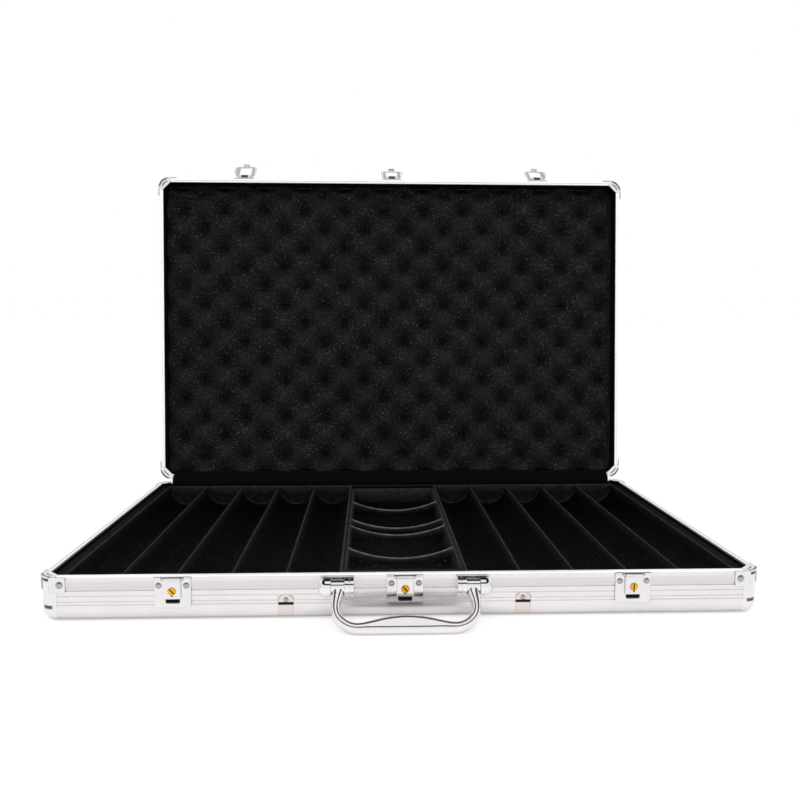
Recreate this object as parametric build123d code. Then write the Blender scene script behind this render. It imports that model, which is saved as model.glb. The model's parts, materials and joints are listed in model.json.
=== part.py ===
from build123d import *
import math
import os

os.makedirs("parts", exist_ok=True)

# ---------------------------------------------------------------------------
# Poker chip case, aluminium framed, drawn with its lid open.
# Frame: origin at the centre of the base's underside, X to the right,
# Y from the latches towards the hinges, Z up.  Millimetres.
# The lid and its hardware are drawn closed and then turned open.
# ---------------------------------------------------------------------------

# --- driving dimensions ----------------------------------------------------
W = 560.0            # outer width
D = 362.0            # outer depth
HB = 36.0            # base height, underside to rim
HL = 31.7            # lid height, top to rim
RIM_GAP = 0.3        # gap between the two rims when closed
OPEN = 94.4          # how far the lid stands open, held by the hinge stops
HINGE_Y = D / 2 + 3.0
HINGE_Z = HB
CORNER = 13.8        # the corner pieces reach this far from the outer edges
CORNER_R = 12.0      # vertical corner radius
EDGE_R = 9.5         # rounding of the bottom (and lid top) edge
WALL_T = 1.8         # extrusion wall
RIM_W = 5.0          # rim width
BOARD_T = 2.35       # wall board behind the extrusion
PANEL_T = 4.0
LINING_T = 0.7

TRAY_TOP = 32.0
TRAY_T = 1.2
RIDGE_TOP = 31.0
CHAN_R = 20.8        # half-round chip channels
CHAN_PITCH = 43.0
CHAN_X0 = 72.0       # first channel centre, each side
CHAN_LEN = 338.0
WELL_HALF = 46.0     # centre well half width
WELL_LEN = 308.0
WELL_FLOOR = 14.1
DIVIDERS = (-90.0, -13.0, 13.0, 90.0)
DIVIDER_T = 3.0
DIVIDER_TOP = 30.6
DIVIDER_DIP = 21.0

LATCH_X = (-178.0, 0.0, 178.0)
LATCH_NAMES = ("left", "centre", "right")
LEVER_REST = (136.0, 146.0, 142.6)   # how far each lever is flipped open
LEVER_AXIS_W = 3.4                   # lever pivot, in front of the wall
LEVER_AXIS_Z = 41.0                  # lever pivot height when closed
CATCH_AXIS_W = 2.6
CATCH_AXIS_Z = 34.0
CYL_Z = 24.8
CYL_R = 3.0
SLOT_LEAN = (42.0, 40.0, -4.0)       # rest angle of each screwdriver slot

CLIP_X = (-92.0, 92.0)
HANDLE_X = 52.0
HANDLE_AXIS_W = 8.0
HANDLE_AXIS_Z = 28.5
HANDLE_TILT = 43.5                   # the grip rests on the table
HANDLE_PIN_R = 2.5

HINGE_X = (-178.0, 0.0, 178.0)
KNUCKLE_R = 2.9
HINGE_PIN_R = 1.5

XH, YH = W / 2, D / 2
LID_TOP = HB + RIM_GAP + HL          # 68.0


# --- helpers ---------------------------------------------------------------
def box(x0, x1, y0, y1, z0, z1):
    return Pos((x0 + x1) / 2, (y0 + y1) / 2, (z0 + z1) / 2) * Box(x1 - x0, y1 - y0, z1 - z0)


def cyl(p, n, r, h):
    """Cylinder from point p, length h along n."""
    return Plane(origin=p, z_dir=n) * (Pos(0, 0, h / 2) * Cylinder(r, h))


def outline(items):
    """Closed face in XY from points; ('arc', mid, end) draws an arc from the last point."""
    edges, last, first = [], None, None
    for it in items:
        if isinstance(it, tuple) and it and it[0] == "arc":
            edges.append(ThreePointArc(last, it[1], it[2]))
            last = it[2]
        else:
            if last is not None:
                edges.append(Line(last, it))
            else:
                first = it
            last = it
    if math.dist(last, first) > 1e-6:
        edges.append(Line(last, first))
    return make_face(Curve() + edges)


def yz(items, x0, x1):
    """Prism with a Y-Z outline between x0 and x1."""
    return extrude(Plane(origin=(x0, 0, 0), x_dir=(0, 1, 0), z_dir=(1, 0, 0)) * outline(items), amount=x1 - x0)


def xz(items, y0, y1):
    """Prism with an X-Z outline between y0 and y1 (y1 > y0)."""
    return extrude(Plane(origin=(0, y1, 0), x_dir=(1, 0, 0), z_dir=(0, -1, 0)) * outline(items), amount=y1 - y0)


def rrect(w, d, r, z0, z1):
    return extrude(Pos(0, 0, z0) * RectangleRounded(w, d, r), amount=z1 - z0)


def dome_rivet(head_r, head_h, shank_r, shank_l):
    """Domed rivet standing on z = 0, shank below."""
    rr = (head_r ** 2 + head_h ** 2) / (2 * head_h)
    a = math.asin(min(1.0, head_r / rr)) / 2
    mid = (rr * math.sin(a), head_h - rr + rr * math.cos(a))
    f = outline([(0, -shank_l), (shank_r, -shank_l), (shank_r, 0), (head_r, 0), ("arc", mid, (0, head_h))])
    return revolve(Plane.XZ * f, axis=Axis.Z)


def on(p, n, part):
    return Plane(origin=p, z_dir=n) * part


def solids(part):
    out = []
    for p in (part if isinstance(part, (list, tuple)) else [part]):
        out.extend(p.solids())
    return out


NODES = {}


def keep(name, part):
    NODES[name] = Compound(children=[s for s in solids(part)]) if len(solids(part)) > 1 else solids(part)[0]


def minus(part, cutters):
    for c in cutters:
        part = part - c
    return part


OPENING = Pos(0, HINGE_Y, HINGE_Z) * Rot(-OPEN, 0, 0) * Pos(0, -HINGE_Y, -HINGE_Z)


def opened(part):
    """Turn a closed-lid part open about the hinge axis."""
    return [OPENING * s for s in solids(part)]


# --- rail extrusions -------------------------------------------------------
def rail_profile(height, step, grooves, main, tongue):
    """Section: x is the distance inwards from the outer face, y the height from the outer edge."""
    c = EDGE_R * (1 - math.cos(math.radians(45)))
    pts = [(13.7, 0.0), (EDGE_R, 0.0), ("arc", (c, c), (0.0, EDGE_R)),
           (0.0, step - 0.2), (0.45, step), (0.45, step + 0.45), (0.1, step + 0.6)]
    for g in grooves:
        pts += [(0.1, g - 0.4), (0.5, g - 0.12), (0.5, g + 0.12), (0.1, g + 0.4)]
    top = height
    pts += [(0.1, main - 0.5), (0.75, main - 0.25), (0.75, main + 0.3), (0.3, main + 0.5),
            (0.3, main + 2.4), (0.0, main + 2.6), (0.0, top - 4.6), (0.35, top - 2.0),
            (0.35, top - 0.9), ("arc", (0.35 + 0.9 * (1 - math.cos(math.radians(45))), top - 0.9 * (1 - math.sin(math.radians(45)))), (1.25, top))]
    if tongue:
        pts += [(2.1, top), (2.1, top + 0.8), (2.7, top + 0.8), (2.7, top)]
    else:
        pts += [(1.9, top), (1.9, top - 1.1), (2.9, top - 1.1), (2.9, top)]
    ri = EDGE_R - WALL_T
    ci = EDGE_R - ri * math.cos(math.radians(45))
    pts += [(4.6, top), (RIM_W, top - 0.4), (RIM_W, top - 2.2), (WALL_T, top - 2.2), (WALL_T, EDGE_R),
            ("arc", (ci, ci), (EDGE_R, WALL_T)), (13.7, WALL_T)]
    return outline(pts)


def side_plane(side, flip, z0):
    n = {"front": (1, 0, 0), "back": (-1, 0, 0), "left": (0, -1, 0), "right": (0, 1, 0)}[side]
    x = {"front": (0, 1, 0), "back": (0, -1, 0), "left": (1, 0, 0), "right": (-1, 0, 0)}[side]
    o = {"front": (0, -YH, z0), "back": (0, YH, z0), "left": (-XH, 0, z0), "right": (XH, 0, z0)}[side]
    if flip:
        n = tuple(-v for v in n)
    return Plane(origin=o, x_dir=x, z_dir=n)


def rail(side, flip, profile, z0):
    half = (XH if side in ("front", "back") else YH) - CORNER - 0.02
    return extrude(side_plane(side, flip, z0) * profile, amount=half, both=True)


base_profile = rail_profile(HB, 13.3, (16.0, 20.4), 24.8, False)
lid_profile = rail_profile(HL, 13.2, (15.8, 19.4), 22.8, True)
lid_profile_back = rail_profile(HL, 13.2, (15.8, 19.4), 22.8, False)

SIDES = ("front", "back", "left", "right")
base_rail = {s: rail(s, False, base_profile, 0.0) for s in SIDES}
lid_rail = {s: rail(s, True, lid_profile_back if s == "back" else lid_profile, LID_TOP) for s in SIDES}


def wall_boards(z0, z1):
    a, b = WALL_T + 0.05, WALL_T + 0.05 + BOARD_T
    xe, ye = XH - CORNER - 0.05, YH - CORNER - 0.05
    return {"front": box(-xe, xe, -YH + a, -YH + b, z0, z1), "back": box(-xe, xe, YH - b, YH - a, z0, z1),
            "left": box(-XH + a, -XH + b, -ye, ye, z0, z1), "right": box(XH - b, XH - a, -ye, ye, z0, z1)}


base_board = wall_boards(EDGE_R, HB - 2.3)
lid_board = wall_boards(HB + RIM_GAP + 2.3, LID_TOP - EDGE_R)

IN = WALL_T + BOARD_T + 0.08          # inner face of boards and corner posts
CORNERS = [(sx, sy) for sy in (-1, 1) for sx in (-1, 1)]


def corner_box(sx, sy, z0, z1, grow=0.0, reach=CORNER):
    x0, x1 = sorted((sx * (XH - reach), sx * (XH + grow)))
    y0, y1 = sorted((sy * (YH - reach), sy * (YH + grow)))
    return box(x0, x1, y0, y1, z0, z1)


inner_void = lambda z0, z1: rrect(W - 2 * IN, D - 2 * IN, CORNER_R - IN, z0, z1)


def corner_posts(z0, z1):
    ring = rrect(W, D, CORNER_R, z0, z1) - inner_void(z0 - 1, z1 + 1)
    return [ring & corner_box(sx, sy, z0, z1) for sx, sy in CORNERS]


def rounded_block(z0, z1, bottom):
    blk = rrect(W, D, CORNER_R, z0, z1)
    f = blk.faces().sort_by(Axis.Z)[0 if bottom else -1]
    return fillet(f.edges(), EDGE_R)


def corner_caps(z0, z1, bottom):
    blk = rounded_block(z0, z1, bottom)
    if bottom:
        hollow = inner_void(z0 + PANEL_T + 0.2, z1 + 1)
        ledge = box(-XH + EDGE_R + 0.15, XH - EDGE_R - 0.15, -YH + EDGE_R + 0.15, YH - EDGE_R - 0.15, z0 + WALL_T, z1 + 1)
    else:
        hollow = inner_void(z0 - 1, z1 - PANEL_T - 0.2)
        ledge = box(-XH + EDGE_R + 0.15, XH - EDGE_R - 0.15, -YH + EDGE_R + 0.15, YH - EDGE_R - 0.15, z0 - 1, z1 - WALL_T)
    return [(blk & corner_box(sx, sy, z0 - 1, z1 + 1)) - hollow - ledge for sx, sy in CORNERS]


base_posts = corner_posts(13.35, HB - 1.45)
base_caps = [c & box(-XH - 1, XH + 1, -YH - 1, YH + 1, 0, 13.3) for c in corner_caps(0.0, 30.0, True)]
lid_posts = corner_posts(HB + RIM_GAP + 1.45, LID_TOP - 13.25)
lid_caps = [c & box(-XH - 1, XH + 1, -YH - 1, YH + 1, LID_TOP - 13.2, LID_TOP) for c in corner_caps(LID_TOP - 30.0, LID_TOP, False)]

# --- corner brackets: a flange on the rim with two folded tabs --------------
TAB0, TAB1, TAB_T, TAB_H = 8.6, 20.9, 0.9, 12.6
RIVET_IN, RIVET_DROP = 16.7, 6.4


def corner_bracket(sx, sy, rim_z, down):
    """down = -1 for the base (tabs hang down), +1 for the lid."""
    g = TAB_T
    z0, z1 = sorted((rim_z, rim_z + down * 1.4))
    outer = rrect(W + 2 * g, D + 2 * g, CORNER_R + g, z0, z1) & corner_box(sx, sy, z0, z1, grow=g + 0.5, reach=CORNER - 0.02)
    # 45 degree inner edge
    a, b = CORNER, RIM_W
    tri = outline([(XH - a + 0.02, YH - b), (XH - b, YH - a + 0.02), (XH - a - 20, YH - a - 20)])
    tri = extrude(Pos(0, 0, z0 - 1) * tri, amount=z1 - z0 + 2)
    if sx < 0:
        tri = mirror(tri, about=Plane.YZ)
    if sy < 0:
        tri = mirror(tri, about=Plane.XZ)
    part = outer - tri
    tz0, tz1 = sorted((rim_z + down * 0.35, rim_z + down * (0.35 + TAB_H)))
    e = 0.02
    # front or back tab
    x0, x1 = sorted((sx * (XH - TAB1), sx * (XH - TAB0)))
    y0, y1 = sorted((sy * (YH + e), sy * (YH + g)))
    t1 = box(x0, x1, y0, y1, tz0, tz1)
    # side tab
    x2, x3 = sorted((sx * (XH + e), sx * (XH + g)))
    y2, y3 = sorted((sy * (YH - TAB1), sy * (YH - TAB0)))
    t2 = box(x2, x3, y2, y3, tz0, tz1)
    far = tz0 if down < 0 else tz1
    t1 = fillet(t1.edges().filter_by(Axis.Y).filter_by(lambda ed: abs(ed.center().Z - far) < 0.1), 2.4)
    t2 = fillet(t2.edges().filter_by(Axis.X).filter_by(lambda ed: abs(ed.center().Z - far) < 0.1), 2.4)
    return part + t1 + t2


def bracket_rivets(sx, sy, rim_z, down):
    z = rim_z + down * RIVET_DROP
    return [((sx * (XH - RIVET_IN), sy * (YH + TAB_T), z), (0, sy, 0)),
            ((sx * (XH + TAB_T), sy * (YH - RIVET_IN), z), (sx, 0, 0))]


R_SHANK = 1.5


def hole(p, n, r, depth):
    """Cylinder from just outside p inwards."""
    v = Vector(*n)
    q = Vector(*p) + v * 1.0
    return cyl(tuple(q), tuple(-v), r, depth + 1.0)


base_brackets, base_rivet_at = [], []
lid_brackets, lid_rivet_at = [], []
for sx, sy in CORNERS:
    r = bracket_rivets(sx, sy, HB, -1)
    base_rivet_at += r
    base_brackets.append(minus(corner_bracket(sx, sy, HB, -1), [hole(p, n, R_SHANK + 0.05, 2.0) for p, n in r]))
    r = bracket_rivets(sx, sy, HB + RIM_GAP, 1)
    lid_rivet_at += r
    lid_brackets.append(minus(corner_bracket(sx, sy, HB + RIM_GAP, 1), [hole(p, n, R_SHANK + 0.05, 2.0) for p, n in r]))

corner_rivet = dome_rivet(2.85, 1.7, R_SHANK, 4.0)


def side_of(p, n):
    return {(0, -1): "front", (0, 1): "back", (-1, 0): "left", (1, 0): "right"}[(int(round(n[0])), int(round(n[1])))]


for at, rails, boards in ((base_rivet_at, base_rail, base_board), (lid_rivet_at, lid_rail, lid_board)):
    for p, n in at:
        s = side_of(p, n)
        h = hole(p, n, R_SHANK + 0.05, 4.2)
        rails[s] = rails[s] - h
        boards[s] = boards[s] - h

keep("base_corner_posts", base_posts)
keep("base_corner_caps", base_caps)
keep("base_corner_brackets", base_brackets)
keep("base_corner_rivets", [on(p, n, corner_rivet) for p, n in base_rivet_at])
keep("lid_corner_posts", [s for c in lid_posts for s in opened(c)])
keep("lid_corner_caps", [s for c in lid_caps for s in opened(c)])
keep("lid_corner_brackets", [s for c in lid_brackets for s in opened(c)])
keep("lid_corner_rivets", [s for p, n in lid_rivet_at for s in opened(on(p, n, corner_rivet))])

# --- panels, linings, foam ---------------------------------------------------
def panel(z_out, up):
    """Board flush with the outside, rebated over the rails' lips; up = +1 base, -1 lid."""
    a = 14.1
    z0, z1 = sorted((z_out, z_out + up * PANEL_T))
    low = box(-XH + a, XH - a, -YH + a, YH - a, z0, z1)
    b = EDGE_R + 0.2
    r0, r1 = sorted((z_out + up * (WALL_T + 0.03), z_out + up * PANEL_T))
    return low + box(-XH + b, XH - b, -YH + b, YH - b, r0, r1)


def lining(z0, z1):
    o = IN + 0.03
    i = o + LINING_T
    return rrect(W - 2 * o, D - 2 * o, CORNER_R - o, z0, z1) - rrect(W - 2 * i, D - 2 * i, CORNER_R - i, z0 - 1, z1 + 1)


INSIDE = IN + 0.03 + LINING_T + 0.1
keep("bottom_panel", panel(0.0, 1))
keep("tray_base_pad", rrect(W - 2 * INSIDE, D - 2 * INSIDE, 7.4, PANEL_T + 0.25, 8.7))
keep("base_lining", lining(5.0, HB - 2.25))
keep("lid_panel", opened(panel(LID_TOP, -1)))
keep("lid_lining", opened(lining(HB + RIM_GAP + 2.25, LID_TOP - 5.0)))
FOAM_CREST = HB + RIM_GAP + 10.0
keep("lid_foam", opened(rrect(W - 2 * INSIDE - 0.6, D - 2 * INSIDE - 0.6, 7.4, FOAM_CREST, LID_TOP - PANEL_T - 0.25)))

# --- chip tray: thermoformed and flocked -------------------------------------
tray_out = (W - 2 * INSIDE - 0.2, D - 2 * INSIDE - 0.2)
cl, wl = CHAN_LEN / 2, WELL_LEN / 2
centres = [sg * (CHAN_X0 + i * CHAN_PITCH) for sg in (-1, 1) for i in range(5)]
axis_z = RIDGE_TOP - 0.1
block = rrect(tray_out[0], tray_out[1], 7.4, TRAY_TOP - TRAY_T, TRAY_TOP)
block += box(-CHAN_X0 - 4.5 * CHAN_PITCH, CHAN_X0 + 4.5 * CHAN_PITCH, -cl - TRAY_T, cl + TRAY_T, RIDGE_TOP - TRAY_T, TRAY_TOP - 0.3)
for xc in centres:
    block += cyl((xc, -cl - TRAY_T, axis_z), (0, 1, 0), CHAN_R + TRAY_T, 2 * (cl + TRAY_T)) & box(xc - 30, xc + 30, -200, 200, 0, axis_z)
block += box(-WELL_HALF - TRAY_T, WELL_HALF + TRAY_T, -wl - TRAY_T, wl + TRAY_T, WELL_FLOOR - TRAY_T, RIDGE_TOP)
cut = [box(sg * (CHAN_X0 - CHAN_PITCH / 2 + 0.7) if sg > 0 else -(CHAN_X0 + 4.5 * CHAN_PITCH - 0.7),
           sg * (CHAN_X0 + 4.5 * CHAN_PITCH - 0.7) if sg > 0 else -(CHAN_X0 - CHAN_PITCH / 2 + 0.7),
           -cl, cl, RIDGE_TOP, TRAY_TOP + 5) for sg in (-1, 1)]
for xc in centres:
    cut.append(cyl((xc, -cl, axis_z), (0, 1, 0), CHAN_R, 2 * cl))
    cut.append(box(xc - CHAN_R, xc + CHAN_R, -cl, cl, axis_z, TRAY_TOP + 5))
edges_y = [-wl] + [y for yc in DIVIDERS for y in (yc - DIVIDER_T / 2, yc + DIVIDER_T / 2)] + [wl]
WELLS = [(edges_y[2 * i], edges_y[2 * i + 1]) for i in range(5)]
for y0, y1 in WELLS:
    cut.append(box(-WELL_HALF, WELL_HALF, y0, y1, WELL_FLOOR, TRAY_TOP + 5))
sag = DIVIDER_TOP - DIVIDER_DIP
for yc in DIVIDERS:
    cut.append(xz([(-WELL_HALF, TRAY_TOP + 5), (-WELL_HALF, DIVIDER_TOP), ("arc", (0, DIVIDER_DIP), (WELL_HALF, DIVIDER_TOP)), (WELL_HALF, TRAY_TOP + 5)],
                  yc - DIVIDER_T / 2 - 0.01, yc + DIVIDER_T / 2 + 0.01))
for c in cut:
    block = block - c
keep("chip_tray", block)

# --- front hardware, in coordinates from the front wall ----------------------
F = -YH                                # y of the front wall


def fw(x0, x1, w0, w1, z0, z1):
    """Box given by its distance w in front of the wall."""
    return box(x0, x1, F - w1, F - w0, z0, z1)


PLATE0, PLATE1 = 0.02, 1.02
latch_rivet = dome_rivet(2.45, 1.35, 1.1, 3.6)
keeper_plates, keeper_rivets, springs, catch_pins = [], [], [], []
latch_plates, latch_rivets, lever_pins = [], [], []
levers, tongues, cylinders = {}, {}, {}
front_cut, front_board_cut, lid_front_cut, lid_board_cut = [], [], [], []

for xl, name, psi, lean in zip(LATCH_X, LATCH_NAMES, LEVER_REST, SLOT_LEAN):
    # keeper plate
    kp = fw(xl - 14, xl + 14, PLATE0, PLATE1, 11.0, 35.4)
    kp = fillet(kp.edges().filter_by(Axis.Y).filter_by(lambda ed: ed.center().Z < 12), 3.5)
    kp = fillet(kp.edges().filter_by(Axis.Y).filter_by(lambda ed: ed.center().Z > 35), 1.0)
    slot = fw(xl - 5.5, xl + 5.5, -6.0, 2.0, 14.5, 18.5)
    slot = fillet(slot.edges().filter_by(Axis.Y).filter_by(lambda ed: ed.center().Z < 15), 1.4)
    kp = kp - slot
    for sg in (-1, 1):
        ear = fw(xl + sg * 7.6 - 0.7, xl + sg * 7.6 + 0.7, PLATE1 - 0.1, 3.3, 32.7, 35.2)
        ear = fillet(ear.edges().filter_by(Axis.X).filter_by(lambda ed: ed.center().Y < F - 3), 1.1)
        kp = kp + ear
        kp = kp + cyl((xl + sg * 11.2 - 2.7, F - 1.1, 34.9), (1, 0, 0), 0.8, 5.4)
        p = (xl + sg * 10.6, F - PLATE1, 28.6)
        kp = kp - hole(p, (0, -1, 0), 1.15, 3.0)
        keeper_rivets.append(on(p, (0, -1, 0), latch_rivet))
        front_cut.append(hole(p, (0, -1, 0), 1.15, 3.8))
        front_board_cut.append(hole(p, (0, -1, 0), 1.15, 3.8))
    kp = kp - cyl((xl - 9, F - CATCH_AXIS_W, CATCH_AXIS_Z), (1, 0, 0), 0.62, 18)
    keeper_plates.append(kp)
    front_cut.append(slot)
    front_board_cut.append(fw(xl - 5.5, xl + 5.5, -3.4, 2.0, 14.5, 18.5))
    catch_pins.append(cyl((xl - 8.6, F - CATCH_AXIS_W, CATCH_AXIS_Z), (1, 0, 0), 0.6, 17.2))
    # catch tongue: pressed cover hanging on its pin
    tg = fw(xl - 6.6, xl + 6.6, 1.3, 3.6, 18.7, 33.2)
    tg = fillet(tg.edges().filter_by(Axis.Z).filter_by(lambda ed: ed.center().Y < F - 3), 0.8)
    tg = tg + cyl((xl - 6.6, F - CATCH_AXIS_W, CATCH_AXIS_Z), (1, 0, 0), 1.45, 13.2)
    tg = tg - fw(xl - 5.7, xl + 5.7, 0.5, 2.7, 19.5, 31.8)
    tg = tg - cyl((xl - 8, F - CATCH_AXIS_W, CATCH_AXIS_Z), (1, 0, 0), 0.66, 16)
    tg = tg - cyl((xl, F - 6, CYL_Z), (0, 1, 0), CYL_R + 0.06, 4)
    tg = tg - cyl((xl, F - 6, CYL_Z - 3.5), (0, 1, 0), 0.75, 4)
    tongues[name] = tg
    # lock cylinder with a screwdriver slot
    lc = cyl((xl, F - 4.1, CYL_Z), (0, 1, 0), CYL_R, 2.4) + cyl((xl, F - 2.6, CYL_Z), (0, 1, 0), 3.7, 0.9)
    lc = chamfer(lc.faces().sort_by(Axis.Y)[0].edges(), 0.25)
    kerf = Pos(xl, F - 4.1, CYL_Z) * Rot(0, -lean, 0) * Box(0.95, 1.3, 5.0)
    cylinders[name] = lc - kerf
    # leaf spring behind the tongue
    springs.append(yz([(F - 1.06, 20.2), (F - 1.06, 22.0), (F - 1.5, 27.2), (F - 1.5, 30.8), (F - 1.7, 30.8), (F - 1.7, 27.2), (F - 1.26, 22.0), (F - 1.26, 20.2)], xl - 2.5, xl + 2.5))
    # latch hinge plate on the lid
    lp = fw(xl - 12.2, xl + 12.2, PLATE0, PLATE1, HB + RIM_GAP + 0.4, 52.0)
    lp = fillet(lp.edges().filter_by(Axis.Y).filter_by(lambda ed: ed.center().Z > 51), 3.0)
    az = LEVER_AXIS_Z
    lp = lp + cyl((xl - 3.8, F - LEVER_AXIS_W, az), (1, 0, 0), 1.9, 7.6)
    lp = lp + fw(xl - 3.8, xl + 3.8, PLATE1 - 0.1, LEVER_AXIS_W, az - 1.0, az + 1.9)
    lp = lp - cyl((xl - 5, F - LEVER_AXIS_W, az), (1, 0, 0), 0.92, 10)
    for sg in (-1, 1):
        p = (xl + sg * 8.3, F - PLATE1, 47.4)
        lp = lp - hole(p, (0, -1, 0), 1.15, 3.0)
        latch_rivets += opened(on(p, (0, -1, 0), latch_rivet))
        lid_front_cut.append(hole(p, (0, -1, 0), 1.15, 3.8))
        lid_board_cut.append(hole(p, (0, -1, 0), 1.15, 3.8))
    latch_plates += opened(lp)
    lever_pins += opened(cyl((xl - 7.0, F - LEVER_AXIS_W, az), (1, 0, 0), 0.9, 14.0))
    # lever: stamped frame with curved wings, a hook for the slot and a pull loop
    wing = [(7.0, 5.2), (10.3, 5.05), ("arc", (12.1, 4.2), (13.0, 2.1)), (12.1, 1.9), ("arc", (11.3, 3.5), (9.9, 4.15)), (7.0, 4.3)]
    lv = None
    for sg in (-1, 1):
        f = outline([(it[0], (sg * it[1][0], it[1][1]), (sg * it[2][0], it[2][1])) if it[0] == "arc" else (sg * it[0], it[1]) for it in wing])
        pl = Plane(origin=(xl, F, 16.8), x_dir=(1, 0, 0), z_dir=(0, 0, -1))
        w_ = extrude(pl * f, amount=-23.6)
        prof = outline([(sg * 6.9, 40.4), (sg * 9.0, 40.4), ("arc", (sg * 13.3, 29.0), (sg * 9.6, 16.8)), (sg * 6.9, 16.8)])
        env = extrude(Plane(origin=(xl, F + 1, 0), x_dir=(1, 0, 0), z_dir=(0, -1, 0)) * prof, amount=10)
        w_ = w_ & env
        kn = cyl((xl + (3.95 if sg > 0 else -7.0), F - LEVER_AXIS_W, az), (1, 0, 0), 1.9, 3.05)
        web = fw(xl + (3.95 if sg > 0 else -7.3), xl + (7.3 if sg > 0 else -3.95), 4.3, 5.2, 38.0, 41.0)
        lv = (w_ + kn + web) if lv is None else (lv + w_ + kn + web)
    lv = lv + fw(xl - 7.2, xl + 7.2, 4.3, 5.2, 36.2, 38.8)
    lv = lv + fw(xl - 9.6, xl + 9.6, 4.3, 5.2, 16.9, 18.3)
    lv = lv + fw(xl - 3.7, xl + 3.7, 0.5, 4.4, 16.9, 17.7)
    loop = fw(xl - 3.7, xl + 3.7, 4.3, 5.2, 11.4, 17.0)
    loop = fillet(loop.edges().filter_by(Axis.Y).filter_by(lambda ed: ed.center().Z < 12), 1.6)
    loop = loop - fw(xl - 2.5, xl + 2.5, 4.0, 5.6, 12.6, 16.2)
    lv = lv + loop
    lv = lv - cyl((xl - 9, F - LEVER_AXIS_W, az), (1, 0, 0), 0.96, 18)
    turn = Pos(0, F - LEVER_AXIS_W, az) * Rot(-psi, 0, 0) * Pos(0, -(F - LEVER_AXIS_W), -az)
    levers[name] = [OPENING * (turn * s) for s in lv.solids()]

# --- carry handle -------------------------------------------------------------
HY, HZ = F - HANDLE_AXIS_W, HANDLE_AXIS_Z
brackets, screws, handle_pins = [], [], []
for sg in (-1, 1):
    def xr(a, b):
        return tuple(sorted((sg * a, sg * b)))
    x0, x1 = xr(39.6, 66.0)
    br = box(x0, x1, F - 1.6, F - 0.02, 19.6, 34.4)
    br = fillet(br.edges().filter_by(Axis.Y), 2.0)
    # inner lug: a ring with a turned groove
    x0, x1 = xr(39.6, 46.3)
    lug = cyl((x0, HY, HZ), (1, 0, 0), 7.4, x1 - x0) + box(x0, x1, HY, F - 0.5, HZ - 6.6, HZ + 5.6)
    g0, g1 = xr(41.9, 43.1)
    lug = lug - (cyl((g0, HY, HZ), (1, 0, 0), 9.5, g1 - g0) - cyl((g0, HY, HZ), (1, 0, 0), 6.7, g1 - g0) & box(g0, g1, F - 20, F - 6.0, 0, 60))
    br = br + lug
    # outer lug with a domed end
    x0, x1 = xr(56.9, 61.0)
    lug = cyl((x0, HY, HZ), (1, 0, 0), 7.4, x1 - x0) + box(x0, x1, HY, F - 0.5, HZ - 6.6, HZ + 5.6)
    dome = revolve(Plane.XY * outline([(0, 0), (7.4, 0), ("arc", (7.4 * 0.78, 3.9), (3.2, 5.6)), (0, 6.0)]), axis=Axis.Y)
    dome = Plane(origin=(sg * 60.9, HY, HZ), x_dir=(0, 0, 1), z_dir=(0, 1, 0) if sg > 0 else (0, -1, 0)) * dome
    br = br + lug + dome
    a, b = xr(41.0, 62.0)
    br = br - cyl((a - 0.0, HY, HZ), (1, 0, 0), HANDLE_PIN_R + 0.02, b - a)
    handle_pins.append(cyl((a + 0.05, HY, HZ), (1, 0, 0), HANDLE_PIN_R, b - a - 0.1))
    for z in (22.6, 31.4):
        p = (sg * 51.6, F - 1.6, z)
        cone = Plane(origin=p, z_dir=(0, 1, 0)) * (Pos(0, 0, 0.7) * Cone(2.9, 1.5, 1.4))
        sc = cone + cyl(p, (0, 1, 0), 1.5, 5.2)
        br = br - (Plane(origin=p, z_dir=(0, 1, 0)) * (Pos(0, 0, 0.7) * Cone(2.95, 1.55, 1.4))) - cyl(p, (0, 1, 0), 1.55, 4)
        front_cut.append(cyl(p, (0, 1, 0), 1.55, 5.3))
        front_board_cut.append(cyl(p, (0, 1, 0), 1.55, 5.3))
        screws.append(sc)
    brackets.append(br)

# handle drawn hanging, v down from the pin axis, then tilted outwards:
# rounded sections lofted round the bow, from inner edge to outer edge
grip_in = [(46.7, 0.0), (46.7, 6.5), (48.4, 12.0), (49.6, 17.5), (48.6, 22.0), (45.0, 26.2), (38.5, 29.0), (30.0, 28.0), (18.0, 25.2), (0.0, 23.2)]
grip_out = [(56.6, 0.0), (56.6, 6.5), (56.9, 13.0), (56.3, 19.5), (54.4, 26.0), (49.5, 32.0), (41.0, 36.4), (31.0, 37.4), (18.0, 37.4), (0.0, 37.4)]
half_bow = list(zip(grip_in, grip_out))
bow = [((-p[0], p[1]), (-q[0], q[1])) for p, q in half_bow] + half_bow[::-1][1:]
sections = []
for (px_, pv), (qx, qv) in bow:
    ln = math.hypot(qx - px_, qv - pv)
    ux, uv = (qx - px_) / ln, (qv - pv) / ln
    pl = Plane(origin=((px_ + qx) / 2, HY, HZ - (pv + qv) / 2), x_dir=(ux, 0, -uv), z_dir=(-uv, 0, -ux))
    sections.append(pl * RectangleRounded(ln, 9.2, min(ln, 9.2) / 2 - 0.3))
body = loft(sections)
handle = body
for sg in (-1, 1):
    x0, x1 = sorted((sg * 46.5, sg * 56.7))
    handle = handle + cyl((x0, HY, HZ), (1, 0, 0), 5.7, x1 - x0)
handle = handle & box(-60, 60, HY - 20, HY + 20, HZ - 60, HZ + 5.8)
for sg in (-1, 1):
    x0, x1 = sorted((sg * 45.0, sg * 58.0))
    handle = handle - cyl((x0, HY, HZ), (1, 0, 0), HANDLE_PIN_R + 0.06, x1 - x0)
handle = Pos(0, HY, HZ) * Rot(-HANDLE_TILT, 0, 0) * Pos(0, -HY, -HZ) * handle.solids()[0]

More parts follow.
